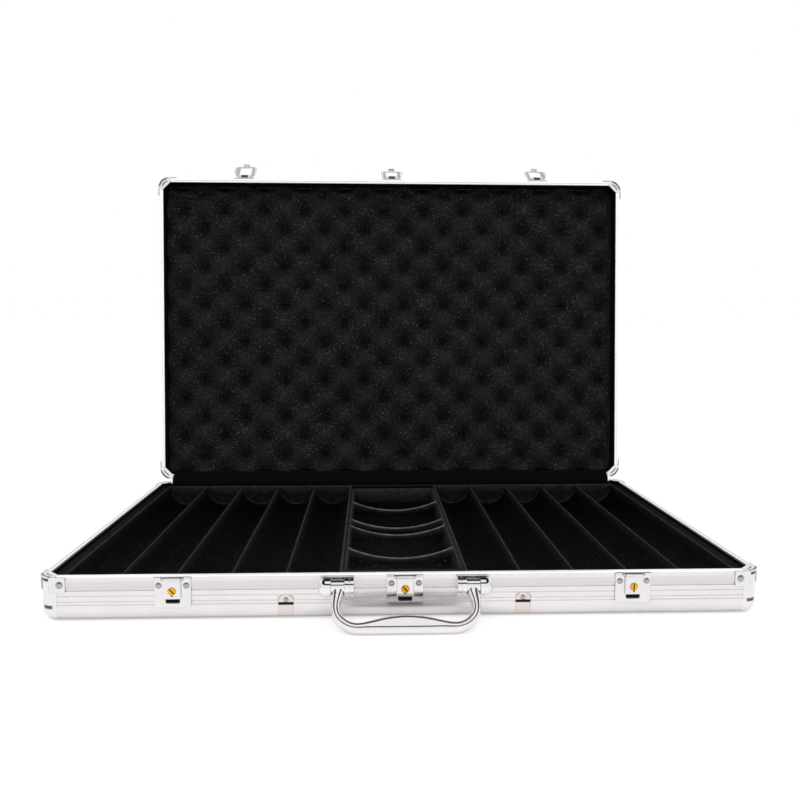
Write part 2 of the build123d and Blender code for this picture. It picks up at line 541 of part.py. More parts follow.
# --- edge clips: let flush into the rails, round the bottom edge ---------------
clips, clip_rivets = [], []
CLIP_HALF, CLIP_T = 5.85, 0.8
clip_rivet = dome_rivet(2.0, 0.9, 1.0, 2.6)


def clip_section(t):
    c = EDGE_R * (1 - math.cos(math.radians(45)))
    ri = EDGE_R - t
    ci = EDGE_R - ri * math.cos(math.radians(45))
    return outline([(13.6, 0.0), (EDGE_R, 0.0), ("arc", (c, c), (0.0, EDGE_R)), (0.0, 12.6), (0.6, 13.5), (0.6, 19.6), (1.3, 19.6), (1.3, 13.2), (t, 12.4), (t, EDGE_R), ("arc", (ci, ci), (EDGE_R, t)), (13.6, t)])


for side, sy in (("front", -1), ("back", 1)):
    for xc in CLIP_X:
        pl = side_plane(side, False, 0.0)
        c = Pos(xc, 0, 0) * extrude(pl * clip_section(CLIP_T), amount=CLIP_HALF, both=True)
        pk = Pos(xc, 0, 0) * extrude(pl * outline([(13.7, -1.0), (-1.0, -1.0), (-1.0, 19.7), (1.35, 19.7), (1.35, 13.1), (CLIP_T + 0.05, 12.3), (CLIP_T + 0.05, EDGE_R),
                                                    ("arc", (EDGE_R - (EDGE_R - CLIP_T - 0.05) * math.cos(math.radians(45)),) * 2, (EDGE_R, CLIP_T + 0.05)), (13.7, CLIP_T + 0.05)]),
                                     amount=CLIP_HALF + 0.05, both=True)
        c = fillet(c.edges().filter_by(Axis.Y).filter_by(lambda ed: ed.center().Z > 19), 4.8)
        n = (0, sy, 0)
        p = (xc, sy * (YH - 0.6), 15.9)
        c = c - hole(p, n, 1.05, 2.0)
        clips.append(c)
        clip_rivets.append(on(p, n, clip_rivet))
        base_rail[side] = base_rail[side] - pk - hole(p, n, 1.05, 2.8)
        base_board[side] = base_board[side] - hole(p, n, 1.05, 2.8)

# --- hinges with stop ears on the back ------------------------------------------
base_leaves, lid_leaves, hinge_pins, base_hinge_rivets, lid_hinge_rivets = [], [], [], [], []
back_cut, back_board_cut, lid_back_cut, lid_back_board_cut = [], [], [], []
hinge_rivet = dome_rivet(2.3, 1.2, 1.2, 3.6)
B = YH
for xh in HINGE_X:
    leaf = box(xh - 27, xh + 27, B + 0.02, B + 1.2, 15.0, HB - 0.3)
    leaf = fillet(leaf.edges().filter_by(Axis.Y).filter_by(lambda ed: ed.center().Z < 16), 3.0)
    lleaf = box(xh - 27, xh + 27, B + 0.02, B + 1.2, HB + 0.8, 57.0)
    lleaf = fillet(lleaf.edges().filter_by(Axis.Y).filter_by(lambda ed: ed.center().Z > 56), 3.0)
    for i in range(5):
        a, b = xh - 25 + 10 * i + 0.12, xh - 25 + 10 * (i + 1) - 0.12
        kn = cyl((a, HINGE_Y, HINGE_Z), (1, 0, 0), KNUCKLE_R, b - a)
        if i % 2 == 0:
            leaf = leaf + (kn + box(a, b, B + 0.02, HINGE_Y - 1.0, HINGE_Z - 3.0, HINGE_Z - 0.3))
            lleaf = lleaf - box(a - 0.3, b + 0.3, B - 1, B + 5, HB - 1, HINGE_Z + 3.6)
        else:
            lleaf = lleaf + (kn + box(a, b, B + 0.02, HINGE_Y - 1.0, HINGE_Z + 0.8, HINGE_Z + 3.0))
            leaf = leaf - box(a - 0.3, b + 0.3, B - 1, B + 5, HINGE_Z - 3.6, HB + 1)
    for sg in (-1, 1):
        # stop ear, drawn in the open position: its edge lies on the base leaf
        x0, x1 = sorted((xh + sg * 25.3, xh + sg * 26.8))
        ear = yz([(B + 1.26, HINGE_Z - 5.6), (B + 1.26, HINGE_Z - 1.0), (HINGE_Y + 1.3, HINGE_Z + 2.4), (HINGE_Y + 8.0, HINGE_Z + 2.2), (HINGE_Y + 8.0, HINGE_Z + 0.6), (HINGE_Y + 0.6, HINGE_Z - 5.6)], x0, x1)
        closed_ear = OPENING.inverse() * ear
        lleaf = lleaf + closed_ear
    bore = cyl((xh - 30, HINGE_Y, HINGE_Z), (1, 0, 0), HINGE_PIN_R + 0.05, 60)
    leaf = leaf - (bore & box(xh - 25, xh + 25, 150, 220, 20, 60))
    lleaf = lleaf - (bore & box(xh - 25.1, xh + 25.1, 150, 220, 20, 60))
    hinge_pins.append(cyl((xh - 24.9, HINGE_Y, HINGE_Z), (1, 0, 0), HINGE_PIN_R, 49.8))
    for dx in (-18, 0, 18):
        p = (xh + dx, B + 1.2, 22.5)
        leaf = leaf - hole(p, (0, 1, 0), 1.25, 3.0)
        base_hinge_rivets.append(on(p, (0, 1, 0), hinge_rivet))
        back_cut.append(hole(p, (0, 1, 0), 1.25, 3.8))
        q = (xh + dx, B + 1.2, 49.8)
        lleaf = lleaf - hole(q, (0, 1, 0), 1.25, 3.0)
        lid_hinge_rivets += opened(on(q, (0, 1, 0), hinge_rivet))
        lid_back_cut.append(hole(q, (0, 1, 0), 1.25, 3.8))
    base_leaves.append(leaf)
    lid_leaves += opened(lleaf)

base_rail["back"] = minus(base_rail["back"], back_cut)
base_board["back"] = minus(base_board["back"], back_cut)
lid_rail["back"] = minus(lid_rail["back"], lid_back_cut)
lid_board["back"] = minus(lid_board["back"], lid_back_cut)
base_rail["front"] = minus(base_rail["front"], front_cut)
base_board["front"] = minus(base_board["front"], front_board_cut)
lid_rail["front"] = minus(lid_rail["front"], lid_front_cut)
lid_board["front"] = minus(lid_board["front"], lid_board_cut)

# --- rubber feet on the back, to stand the closed case upright --------------------
def foot(x, z):
    f = Plane(origin=(x, B + 0.02, z), z_dir=(0, 1, 0)) * (Pos(0, 0, 5.5) * Cone(7.5, 6.0, 11.0))
    return f - Plane(origin=(x, B + 0.02, z), z_dir=(0, 1, 0)) * (Pos(0, 0, 9.5) * Cylinder(3.0, 3.2))


FOOT_X = 232.0
keep("rubber_feet_base", [foot(-FOOT_X, 18.5), foot(FOOT_X, 18.5)])
keep("rubber_feet_lid", [s for x in (-FOOT_X, FOOT_X) for s in opened(foot(x, 51.0))])

# --- hinge lining: the strip of lining fabric that crosses from base to lid --------
hl = [(YH - RIM_W - 0.7, HB - 3.4), (YH - RIM_W - 0.7, HB + 0.6), (YH - RIM_W + 2.4, HB + 4.6), (YH + 1.6, HB + 8.4), (YH + 4.6, HB + 9.7), (YH + 11.0, HB + 9.35)]


def strip(points, t):
    up, dn = [], []
    for i, (a, b) in enumerate(points):
        p = points[max(i - 1, 0)]
        q = points[min(i + 1, len(points) - 1)]
        dx, dz = q[0] - p[0], q[1] - p[1]
        n = math.hypot(dx, dz)
        up.append((a - dz / n * t / 2, b + dx / n * t / 2))
        dn.append((a + dz / n * t / 2, b - dx / n * t / 2))
    return up + dn[::-1]


keep("hinge_lining", yz(strip(hl, 0.8), -XH + CORNER + 2, XH - CORNER - 2))

# --- write everything ---------------------------------------------------------------
for s in SIDES:
    keep("base_%s_rail" % s, base_rail[s])
    keep("lid_%s_rail" % s, opened(lid_rail[s]))
keep("base_wall_boards", [base_board[s] for s in SIDES])
keep("lid_wall_boards", [x for s in SIDES for x in opened(lid_board[s])])
keep("latch_keeper_plates", keeper_plates)
keep("keeper_rivets", keeper_rivets)
keep("catch_pins", catch_pins)
keep("catch_springs", springs)
for nme in LATCH_NAMES:
    keep("catch_tongue_" + nme, tongues[nme])
    keep("lock_cylinder_" + nme, cylinders[nme])
    keep("latch_lever_" + nme, levers[nme])
keep("latch_hinge_plates", latch_plates)
keep("latch_plate_rivets", latch_rivets)
keep("latch_lever_pins", lever_pins)
keep("handle_brackets", brackets)
keep("handle_screws", screws)
keep("handle_pins", handle_pins)
keep("carry_handle", handle)
keep("edge_clips", clips)
keep("edge_clip_rivets", clip_rivets)
keep("hinge_base_leaves", base_leaves)
keep("hinge_lid_leaves", lid_leaves)
keep("hinge_pins", hinge_pins)
keep("hinge_base_rivets", base_hinge_rivets)
keep("hinge_lid_rivets", lid_hinge_rivets)

for name, shape in sorted(NODES.items()):
    shape.label = name
    export_step(shape, os.path.join("parts", name + ".step"))
print(len(NODES), "nodes written")


def turned(y, z, oy, oz, deg):
    a = math.radians(deg)
    dy, dz = y - oy, z - oz
    return oy + dy * math.cos(a) - dz * math.sin(a), oz + dy * math.sin(a) + dz * math.cos(a)


print("lever axis, open:", turned(F - LEVER_AXIS_W, LEVER_AXIS_Z, HINGE_Y, HINGE_Z, -OPEN))
print("handle axis:", HY, HZ)
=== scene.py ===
import json
import math

import bpy
import numpy as np
from mathutils import Matrix, Vector


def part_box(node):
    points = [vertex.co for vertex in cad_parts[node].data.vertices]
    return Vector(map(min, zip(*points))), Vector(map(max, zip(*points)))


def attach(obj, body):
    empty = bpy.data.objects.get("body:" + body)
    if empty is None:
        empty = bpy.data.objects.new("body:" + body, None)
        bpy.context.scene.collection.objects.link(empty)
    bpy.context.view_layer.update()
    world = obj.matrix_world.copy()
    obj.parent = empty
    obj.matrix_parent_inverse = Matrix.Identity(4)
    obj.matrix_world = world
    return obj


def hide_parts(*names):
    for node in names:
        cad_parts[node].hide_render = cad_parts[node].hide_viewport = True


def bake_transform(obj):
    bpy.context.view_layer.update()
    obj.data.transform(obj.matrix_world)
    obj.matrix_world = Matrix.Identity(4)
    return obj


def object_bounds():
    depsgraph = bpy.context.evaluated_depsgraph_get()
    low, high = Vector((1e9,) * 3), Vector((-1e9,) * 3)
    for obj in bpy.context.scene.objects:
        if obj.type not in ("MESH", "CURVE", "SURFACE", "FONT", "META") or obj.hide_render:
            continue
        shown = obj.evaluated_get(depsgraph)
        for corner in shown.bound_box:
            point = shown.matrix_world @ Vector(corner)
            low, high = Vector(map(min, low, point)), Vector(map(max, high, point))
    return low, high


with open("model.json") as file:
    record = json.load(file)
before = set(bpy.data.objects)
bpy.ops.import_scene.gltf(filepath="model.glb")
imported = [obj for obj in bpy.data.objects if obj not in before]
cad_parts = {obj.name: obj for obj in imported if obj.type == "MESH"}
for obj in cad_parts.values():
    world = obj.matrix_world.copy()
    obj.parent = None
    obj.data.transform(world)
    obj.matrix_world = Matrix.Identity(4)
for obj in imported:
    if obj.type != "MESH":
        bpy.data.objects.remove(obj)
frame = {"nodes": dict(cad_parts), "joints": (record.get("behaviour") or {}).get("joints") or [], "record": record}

CAD_LO, CAD_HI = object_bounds()
scene = bpy.context.scene
NODES = frame["nodes"]
JOINTS = {j["name"]: j for j in frame["joints"]}
SLOT_OF = {s["node"]: s["material_slot"] for s in frame["record"]["subparts"]}
BODY_OF = {n: b for b, ns in frame["record"]["behaviour"]["bodies"].items() for n in ns}
HINGE_Y, HINGE_Z = JOINTS["lid_hinge"]["pos_m"][1] * 1000, JOINTS["lid_hinge"]["pos_m"][2] * 1000
OPEN = math.radians(JOINTS["lid_hinge"]["range_deg"][1])

# --- camera -----------------------------------------------------------------
def turn(axis, a):
    return np.array(Matrix.Rotation(a, 3, axis))


cam_r = turn("Z", -0.0373) @ turn("X", -0.1001) @ turn("Y", -0.0019)
cam_m = Matrix.Identity(4)
for row in range(3):
    cam_m[row][0] = cam_r[row][0]
    cam_m[row][1] = cam_r[row][2]
    cam_m[row][2] = -cam_r[row][1]
    cam_m[row][3] = (-0.02680, -0.78455, 0.23130)[row]
cam_data = bpy.data.cameras.new("camera")
cam_data.lens, cam_data.sensor_width = 36.165, 36.0
cam_data.clip_start, cam_data.clip_end = 0.02, 60.0
cam = bpy.data.objects.new("camera", cam_data)
cam.matrix_world = cam_m
scene.collection.objects.link(cam)
scene.camera = cam
scene.view_settings.view_transform = "Standard"


# --- node helpers --------------------------------------------------------------
class Nodes:
    """A short way to write a node tree."""

    def __init__(self, tree):
        self.t = tree

    def new(self, kind, **values):
        node = self.t.nodes.new(kind)
        for k, v in values.items():
            setattr(node, k, v)
        return node

    def put(self, socket, value):
        if isinstance(value, bpy.types.NodeSocket):
            self.t.links.new(value, socket)
        elif value is not None:
            if socket.type == "RGBA" and not hasattr(value, "__len__"):
                value = (value, value, value, 1)
            elif socket.type == "RGBA" and len(value) == 3:
                value = (*value, 1)
            socket.default_value = value

    def math(self, op, a, b=None, c=None, clamp=False):
        n = self.new("ShaderNodeMath", operation=op, use_clamp=clamp)
        for s, v in zip(n.inputs, (a, b, c)):
            self.put(s, v)
        return n.outputs[0]

    def vmath(self, op, a, b=None):
        n = self.new("ShaderNodeVectorMath", operation=op)
        self.put(n.inputs[0], a)
        if b is not None:
            self.put(n.inputs[1], b)
        return n.outputs["Value"] if op in ("DOT_PRODUCT", "LENGTH") else n.outputs[0]

    def span(self, v, a, b, c=0.0, d=1.0, smooth=True):
        n = self.new("ShaderNodeMapRange", interpolation_type="SMOOTHSTEP" if smooth else "LINEAR", clamp=True)
        for s, x in zip(n.inputs, (v, a, b, c, d)):
            self.put(s, x)
        return n.outputs[0]

    def mix(self, f, a, b, kind="MIX"):
        n = self.new("ShaderNodeMix", data_type="RGBA", blend_type=kind)
        self.put(n.inputs[0], f)
        self.put(n.inputs[6], a)
        self.put(n.inputs[7], b)
        return n.outputs[2]

    def mapped(self, vec, scale=(1, 1, 1), rot=(0, 0, 0), loc=(0, 0, 0)):
        n = self.new("ShaderNodeMapping")
        self.put(n.inputs["Vector"], vec)
        n.inputs["Location"].default_value = loc
        n.inputs["Rotation"].default_value = rot
        n.inputs["Scale"].default_value = scale
        return n.outputs[0]

    def noise(self, vec, scale, detail=2.0, rough=0.5, out="Fac"):
        n = self.new("ShaderNodeTexNoise")
        self.put(n.inputs["Vector"], vec)
        n.inputs["Scale"].default_value = scale
        n.inputs["Detail"].default_value = detail
        n.inputs["Roughness"].default_value = rough
        return n.outputs[out]

    def cells(self, vec, scale, feature="F1", out="Distance"):
        n = self.new("ShaderNodeTexVoronoi", feature=feature)
        self.put(n.inputs["Vector"], vec)
        n.inputs["Scale"].default_value = scale
        return n.outputs[out]

    def bump(self, height, strength, distance, normal=None):
        n = self.new("ShaderNodeBump")
        n.inputs["Strength"].default_value = strength
        n.inputs["Distance"].default_value = distance
        self.put(n.inputs["Height"], height)
        if normal is not None:
            self.put(n.inputs["Normal"], normal)
        return n.outputs[0]


def material(name):
    m = bpy.data.materials.new(name)
    m.use_nodes = True
    k = Nodes(m.node_tree)
    k.mat = m
    k.bsdf = m.node_tree.nodes["Principled BSDF"]
    k.obj = k.new("ShaderNodeTexCoord").outputs["Object"]
    k.set = lambda s, v: k.put(k.bsdf.inputs[s], v)
    return k


def metal(name, color, rough, axis="X", tilt=0.0, grain=0.0, smudge=0.05, tint=None, edge=0.35, radius=0.00022, speck=0.0, crease_shade=0.0, metallic=1.0, mark=None, rim=None, edge_color=(0.97, 0.97, 0.97)):
    """Bare or plated metal: grain lines along one axis, handling smudges, edges painted in edge_color: a pale one is
    rubbed wear and partly a painted highlight, a dark one is a painted shaded outline.
    """
    k = material(name)
    at = k.mapped(k.obj, rot=(tilt, 0, 0)) if tilt else k.obj
    long, short = 6.0, 1300.0
    lines = k.noise(k.mapped(at, scale=tuple(long if c == axis else short for c in "XYZ")), 1.0, 3.0, 0.6)
    cloud = k.noise(k.obj, 38.0, 4.0, 0.55)
    fine = k.noise(k.obj, 420.0, 2.0, 0.6)
    bevel = k.new("ShaderNodeBevel", samples=4)
    bevel.inputs["Radius"].default_value = radius
    geo = k.new("ShaderNodeNewGeometry")
    edge_wear_light_shade = k.span(k.vmath("DOT_PRODUCT", bevel.outputs[0], geo.outputs["Normal"]), 0.995, 0.90, 0.0, 1.0)
    c = k.mix(k.span(cloud, 0.35, 0.7, 0.0, 1.0), color, tuple(x * 0.955 for x in color))
    if tint:
        c = k.mix(k.span(k.noise(k.obj, 55.0, 1.0), 0.4, 0.62, 0.0, 0.8), c, tint)
    if grain:
        c = k.mix(k.span(lines, 0.3, 0.75, 0.0, grain), c, tuple(x * 0.82 for x in color))
    if speck:
        spots = k.span(k.cells(k.obj, 260.0), 0.10, 0.05, 0.0, 1.0)
        keep = k.span(k.noise(k.obj, 90.0, 0.0), 0.60, 0.66, 0.0, speck)
        c = k.mix(k.math("MULTIPLY", spots, keep), c, tuple(x * 0.45 for x in color))
    # edges painted in edge_color: pale is rubbed wear and partly a painted highlight, dark is a painted shaded outline
    c = k.mix(k.math("MULTIPLY", edge_wear_light_shade, edge), c, edge_color)
    # painted shade: colour darkened in grooves, creases and between parts, from an ambient-occlusion mask
    if crease_shade:
        ao = k.new("ShaderNodeAmbientOcclusion", samples=6)
        ao.inputs["Distance"].default_value = 0.0022
        c = k.mix(k.span(ao.outputs["AO"], 0.55, 0.02, 0.0, crease_shade), c, (0.05, 0.048, 0.048))
    # mark paints dark colour: painted shade in the clip band and lock slot, a painted shadow under the post lips,
    # painted shade on the caps, painted dark reflections on the brackets, and a darker lever barrel
    if mark:
        c = k.mix(mark(k), c, (0.012, 0.010, 0.010))
    # rails: a painted shade band 3 to 12.5 mm below the rim, and a painted highlight along the rim's top, lighter and
    # less metallic
    if rim is not None:
        low = height(k, rim)
        shade = k.math("MULTIPLY", k.span(low, 0.0030, 0.0055), k.span(low, 0.0125, 0.0100, 0.0, 0.85))
        c = k.mix(shade, c, (0.700, 0.672, 0.676))
        top = k.span(low, 0.0011, 0.0006)
        c = k.mix(top, c, (0.93, 0.92, 0.922))
        metallic = k.span(top, 0.0, 1.0, metallic, 0.22, smooth=False)
    k.set("Base Color", c)
    k.set("Metallic", metallic)
    r = k.math("ADD", rough, k.math("MULTIPLY", k.math("SUBTRACT", cloud, 0.5), smudge))
    r = k.math("ADD", r, k.math("MULTIPLY", k.math("SUBTRACT", lines, 0.5), 0.18 if grain else 0.02))
    r = k.math("SUBTRACT", r, k.math("MULTIPLY", edge_wear_light_shade, rough * 0.25))
    k.set("Roughness", k.math("MAXIMUM", r, 0.02))
    h = k.math("ADD", k.math("MULTIPLY", lines, 1.0 if grain else 0.0), k.math("MULTIPLY", fine, 0.5))
    k.set("Normal", k.bump(h, 0.25 if grain else 0.06, 0.00002, bevel.outputs[0]))
    if grain:
        k.set("Anisotropic", 0.35)
    return k.mat


def lint(k, scale, size, power, gain):
    """Pale fibre ends and dust: small spots, a few bright and many faint."""
    d = k.cells(k.obj, scale)
    pick = k.new("ShaderNodeSeparateColor")
    k.put(pick.inputs[0], k.cells(k.obj, scale, out="Color"))
    level = k.math("MULTIPLY", k.math("POWER", pick.outputs[0], power), gain)
    return k.math("MULTIPLY", k.span(d, size, size * 0.5, 0.0, 1.0), level)


def cloth(name, color, light, fibre, bump, sheen=0.3, dust=(560.0, 0.13, 4.0, 0.5), dust_color=(0.30, 0.29, 0.29), stretch=(1, 1, 1), sheen_rough=0.45, wear_and_highlight=None, painted_front_light=None):
    k = material(name)
    vec = k.mapped(k.obj, scale=stretch)
    n1 = k.noise(vec, fibre, 4.0, 0.62)
    n2 = k.noise(k.obj, 24.0, 3.0, 0.5)
    n3 = k.noise(vec, fibre * 2.7, 2.0, 0.5)
    c = k.mix(k.span(n1, 0.30, 0.74), color, light)
    c = k.mix(k.span(n2, 0.35, 0.70, 0.0, 0.30), c, tuple(x * 0.55 for x in color))
    c = k.mix(lint(k, *dust), c, dust_color)
    # painted light: the colour is brighter towards the front of the tray and darker towards the back
    if painted_front_light:
        sep = k.new("ShaderNodeSeparateXYZ")
        k.put(sep.inputs[0], k.obj)
        c = k.mix(1.0, c, k.span(sep.outputs[1], -0.165, 0.165, *painted_front_light, smooth=False), kind="MULTIPLY")
    # pale lines from a vertex attribute: rubbed flock and partly a painted highlight on ridges and edges, a painted
    # highlight along the wall feet
    if wear_and_highlight:
        at = k.new("ShaderNodeAttribute", attribute_name="wear_and_highlight")
        uneven = k.span(k.noise(k.obj, 130.0, 3.0), 0.25, 0.75, 0.55, 1.15)
        c = k.mix(k.math("MULTIPLY", k.math("MULTIPLY", at.outputs["Fac"], uneven), 0.5, clamp=True), c, wear_and_highlight)
    k.set("Base Color", c)
    k.set("Roughness", k.span(n3, 0.3, 0.7, 0.86, 1.0))
    k.set("Specular IOR Level", 0.04)
    k.set("Sheen Weight", sheen * 0.4)
    k.set("Sheen Roughness", sheen_rough)
    k.set("Sheen Tint", (0.80, 0.78, 0.80))
    h = k.math("ADD", k.math("MULTIPLY", n1, 0.7), k.math("MULTIPLY", n3, 0.5))
    k.set("Normal", k.bump(h, 0.7, bump))
    return k.mat


def foam_material(name, color, light, pits=False):
    k = material(name)
    cell = k.cells(k.obj, 900.0)
    n1 = k.noise(k.obj, 700.0, 3.0, 0.6)
    n2 = k.noise(k.obj, 16.0, 3.0, 0.5)
    c = k.mix(k.span(n1, 0.3, 0.72), color, light)
    c = k.mix(k.span(n2, 0.35, 0.68, 0.0, 0.35), c, tuple(x * 0.72 for x in color))
    c = k.mix(k.span(cell, 0.55, 0.15, 0.0, 0.5), c, tuple(x * 0.5 for x in color))
    if pits:
        # painted shade deep in the pits and a painted highlight on the crests, from the depth attribute
        at = k.new("ShaderNodeAttribute", attribute_name="depth").outputs["Fac"]
        c = k.mix(k.span(at, 0.0, 1.0, 0.0, 0.80, smooth=False), c, tuple(x * 0.10 for x in color))
        c = k.mix(k.span(at, 0.0, -1.0, 0.0, 0.35, smooth=False), c, tuple(x * 1.3 for x in light))
        calm = k.span(at, 0.1, 0.9, 1.0, 0.35, smooth=False)
        grain = k.span(k.noise(k.obj, 430.0, 2.0, 0.7), 0.30, 0.70, 0.62, 1.38, smooth=False)
        c = k.mix(1.0, c, grain, kind="MULTIPLY")
        # pale specks: fibre ends and partly painted glints, fewer in the shaded pits
        c = k.mix(k.math("MULTIPLY", lint(k, 560.0, 0.40, 3.0, 1.0), calm), c, (0.070, 0.066, 0.067))
        c = k.mix(k.math("MULTIPLY", lint(k, 420.0, 0.19, 6.0, 1.0), calm), c, (0.33, 0.31, 0.312))
    k.set("Base Color", c)
    k.set("Roughness", 0.95)
    k.set("Specular IOR Level", 0.035)
    k.set("Sheen Weight", 0.012)
    k.set("Sheen Roughness", 0.6)
    h = k.math("ADD", k.math("MULTIPLY", n1, 0.8), k.math("MULTIPLY", cell, 0.7))
    k.set("Normal", k.bump(h, 0.8, 0.00035))
    return k.mat


def panel_material(name):
    """Silver laminate with a fine pebbled emboss."""
    k = material(name)
    v = k.cells(k.obj, 620.0)
    n = k.noise(k.obj, 520.0, 3.0, 0.6)
    cloud = k.noise(k.obj, 9.0, 4.0, 0.5)
    c = k.mix(k.span(v, 0.05, 0.6), (0.80, 0.80, 0.81), (0.66, 0.66, 0.67))
    c = k.mix(k.span(cloud, 0.35, 0.7, 0.0, 0.3), c, (0.70, 0.70, 0.71))
    k.set("Base Color", c)
    k.set("Metallic", 0.82)
    k.set("Roughness", k.span(n, 0.3, 0.7, 0.34, 0.48))
    h = k.math("ADD", v, k.math("MULTIPLY", n, 0.5))
    k.set("Normal", k.bump(h, 0.45, 0.00016))
    return k.mat


def rubber_material(name):
    k = material(name)
    n = k.noise(k.obj, 900.0, 3.0, 0.6)
    cloud = k.noise(k.obj, 70.0, 2.0, 0.5)
    k.set("Base Color", k.mix(k.span(cloud, 0.35, 0.7), (0.018, 0.018, 0.018), (0.034, 0.033, 0.032)))
    k.set("Roughness", k.span(n, 0.3, 0.7, 0.55, 0.78))
    k.set("Normal", k.bump(n, 0.3, 0.00008))
    return k.mat


def board_material(name):
    k = material(name)
    n = k.noise(k.mapped(k.obj, scale=(60, 60, 900)), 1.0, 4.0, 0.6)
    k.set("Base Color", k.mix(k.span(n, 0.3, 0.72), (0.0050, 0.0046, 0.0044), (0.0085, 0.0074, 0.0068)))
    k.set("Roughness", 0.82)
    k.set("Normal", k.bump(n, 0.3, 0.0001))
    return k.mat


def clip_crease_shade(k):
    """Painted shade: a dark band across each spring clip, along its crease."""
    sep = k.new("ShaderNodeSeparateXYZ")
    k.put(sep.inputs[0], k.obj)
    low = k.span(sep.outputs[2], 0.01195, 0.01215)
    return k.math("MULTIPLY", low, k.span(sep.outputs[2], 0.01425, 0.01405, 0.0, 0.93))


def barrel(k):
    """Painted darker within about 2.5 mm of the pin axis that each lever turns on."""
    lo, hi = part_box("latch_lever_pins")
    rel = k.vmath("SUBTRACT", k.obj, (0.0, (lo[1] + hi[1]) / 2, (lo[2] + hi[2]) / 2))
    r = k.vmath("LENGTH", k.vmath("MULTIPLY", rel, (0.0, 1.0, 1.0)))
    return k.span(r, 0.0026, 0.0021, 0.0, 0.9)


OUT_X, OUT_Y = (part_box("base_corner_brackets")[1][i] for i in (0, 1))
ARC_R = 0.0129


def height(k, lid):
    """Distance of a point below the rim when that half of the case lies closed."""
    at = k.obj
    if lid:
        at = k.vmath("SUBTRACT", at, (0.0, HINGE_Y / 1000, HINGE_Z / 1000))
        at = k.mapped(at, rot=(OPEN, 0, 0))
        sep = k.new("ShaderNodeSeparateXYZ")
        k.put(sep.inputs[0], at)
        return sep.outputs[2]
    sep = k.new("ShaderNodeSeparateXYZ")
    k.put(sep.inputs[0], at)
    return k.math("SUBTRACT", HINGE_Z / 1000, sep.outputs[2])


def lip_shadow(lid):
    """Painted shadow: a dark band at the top of each corner post, under the bracket's lip."""
    def mark(k):
        d = height(k, lid)
        return k.math("MULTIPLY", k.span(d, 0.0012, 0.0018), k.span(d, 0.0046, 0.0034, 0.0, 0.92))
    return mark


def cap_shade(lid):
    """Painted shade: a small dark crescent on each corner cap, under its joint with the post."""
    def mark(k):
        d = height(k, lid)
        sep = k.new("ShaderNodeSeparateXYZ")
        k.put(sep.inputs[0], k.obj)
        side = k.span(k.math("ABSOLUTE", sep.outputs[0]), OUT_X - 0.0125, OUT_X - 0.0105)
        band = k.math("MULTIPLY", k.span(d, 0.0226, 0.0231), k.span(d, 0.0262, 0.0248, 0.0, 0.9))
        inside = k.span(k.math("ABSOLUTE", sep.outputs[0]), OUT_X - 0.0030, OUT_X - 0.0050)
        return k.math("MULTIPLY", k.math("MULTIPLY", band, side), inside)
    return mark


def reflection_arcs(lid):
    """Painted dark reflections: lines where the rolled lip of a corner bracket turns over."""
    def mark(k):
        at = k.obj
        if lid:
            at = k.vmath("SUBTRACT", at, (0.0, HINGE_Y / 1000, HINGE_Z / 1000))
            at = k.mapped(at, rot=(OPEN, 0, 0))
            at = k.vmath("ADD", at, (0.0, HINGE_Y / 1000, HINGE_Z / 1000))
        sep = k.new("ShaderNodeSeparateXYZ")
        k.put(sep.inputs[0], at)
        ax, ay = (k.math("ABSOLUTE", sep.outputs[i]) for i in (0, 1))
        dx = k.math("SUBTRACT", ax, OUT_X - ARC_R)
        dy = k.math("SUBTRACT", ay, OUT_Y - ARC_R)
        far = k.math("SQRT", k.math("ADD", k.math("POWER", k.math("MAXIMUM", dx, 0.0), 2.0), k.math("POWER", k.math("MAXIMUM", dy, 0.0), 2.0)))
        corner = k.math("MULTIPLY", k.span(dx, 0.0, 0.004), k.span(dy, 0.0, 0.004))
        wob = k.math("MULTIPLY", k.math("SUBTRACT", k.noise(k.obj, 160.0, 1.0), 0.5), 0.0012)
        ring = k.math("ADD", far, wob)
        outer = k.math("MULTIPLY", k.span(ring, ARC_R - 0.0024, ARC_R - 0.0020), k.span(ring, ARC_R - 0.0003, ARC_R - 0.0008))
        inner = k.math("MULTIPLY", k.span(ring, ARC_R - 0.0060, ARC_R - 0.0053), k.span(ring, ARC_R - 0.0036, ARC_R - 0.0042, 0.0, 0.8))
        lines = k.math("ADD", outer, inner, clamp=True)
        return k.math("MULTIPLY", k.math("MULTIPLY", lines, corner), 0.93)
    return mark


def slot_shade(name):
    """Painted shade in the screwdriver slot of one lock cylinder."""
    lo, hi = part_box(name)
    mid, front = (lo + hi) / 2, lo[1]

    def mark(k):
        rel = k.vmath("SUBTRACT", k.obj, (mid[0], 0.0, mid[2]))
        flat = k.vmath("LENGTH", k.vmath("MULTIPLY", rel, (1.0, 0.0, 1.0)))
        sep = k.new("ShaderNodeSeparateXYZ")
        k.put(sep.inputs[0], k.obj)
        return k.math("MULTIPLY", k.span(sep.outputs[1], front + 0.00008, front + 0.00022), k.span(flat, 0.00285, 0.0027))
    return mark


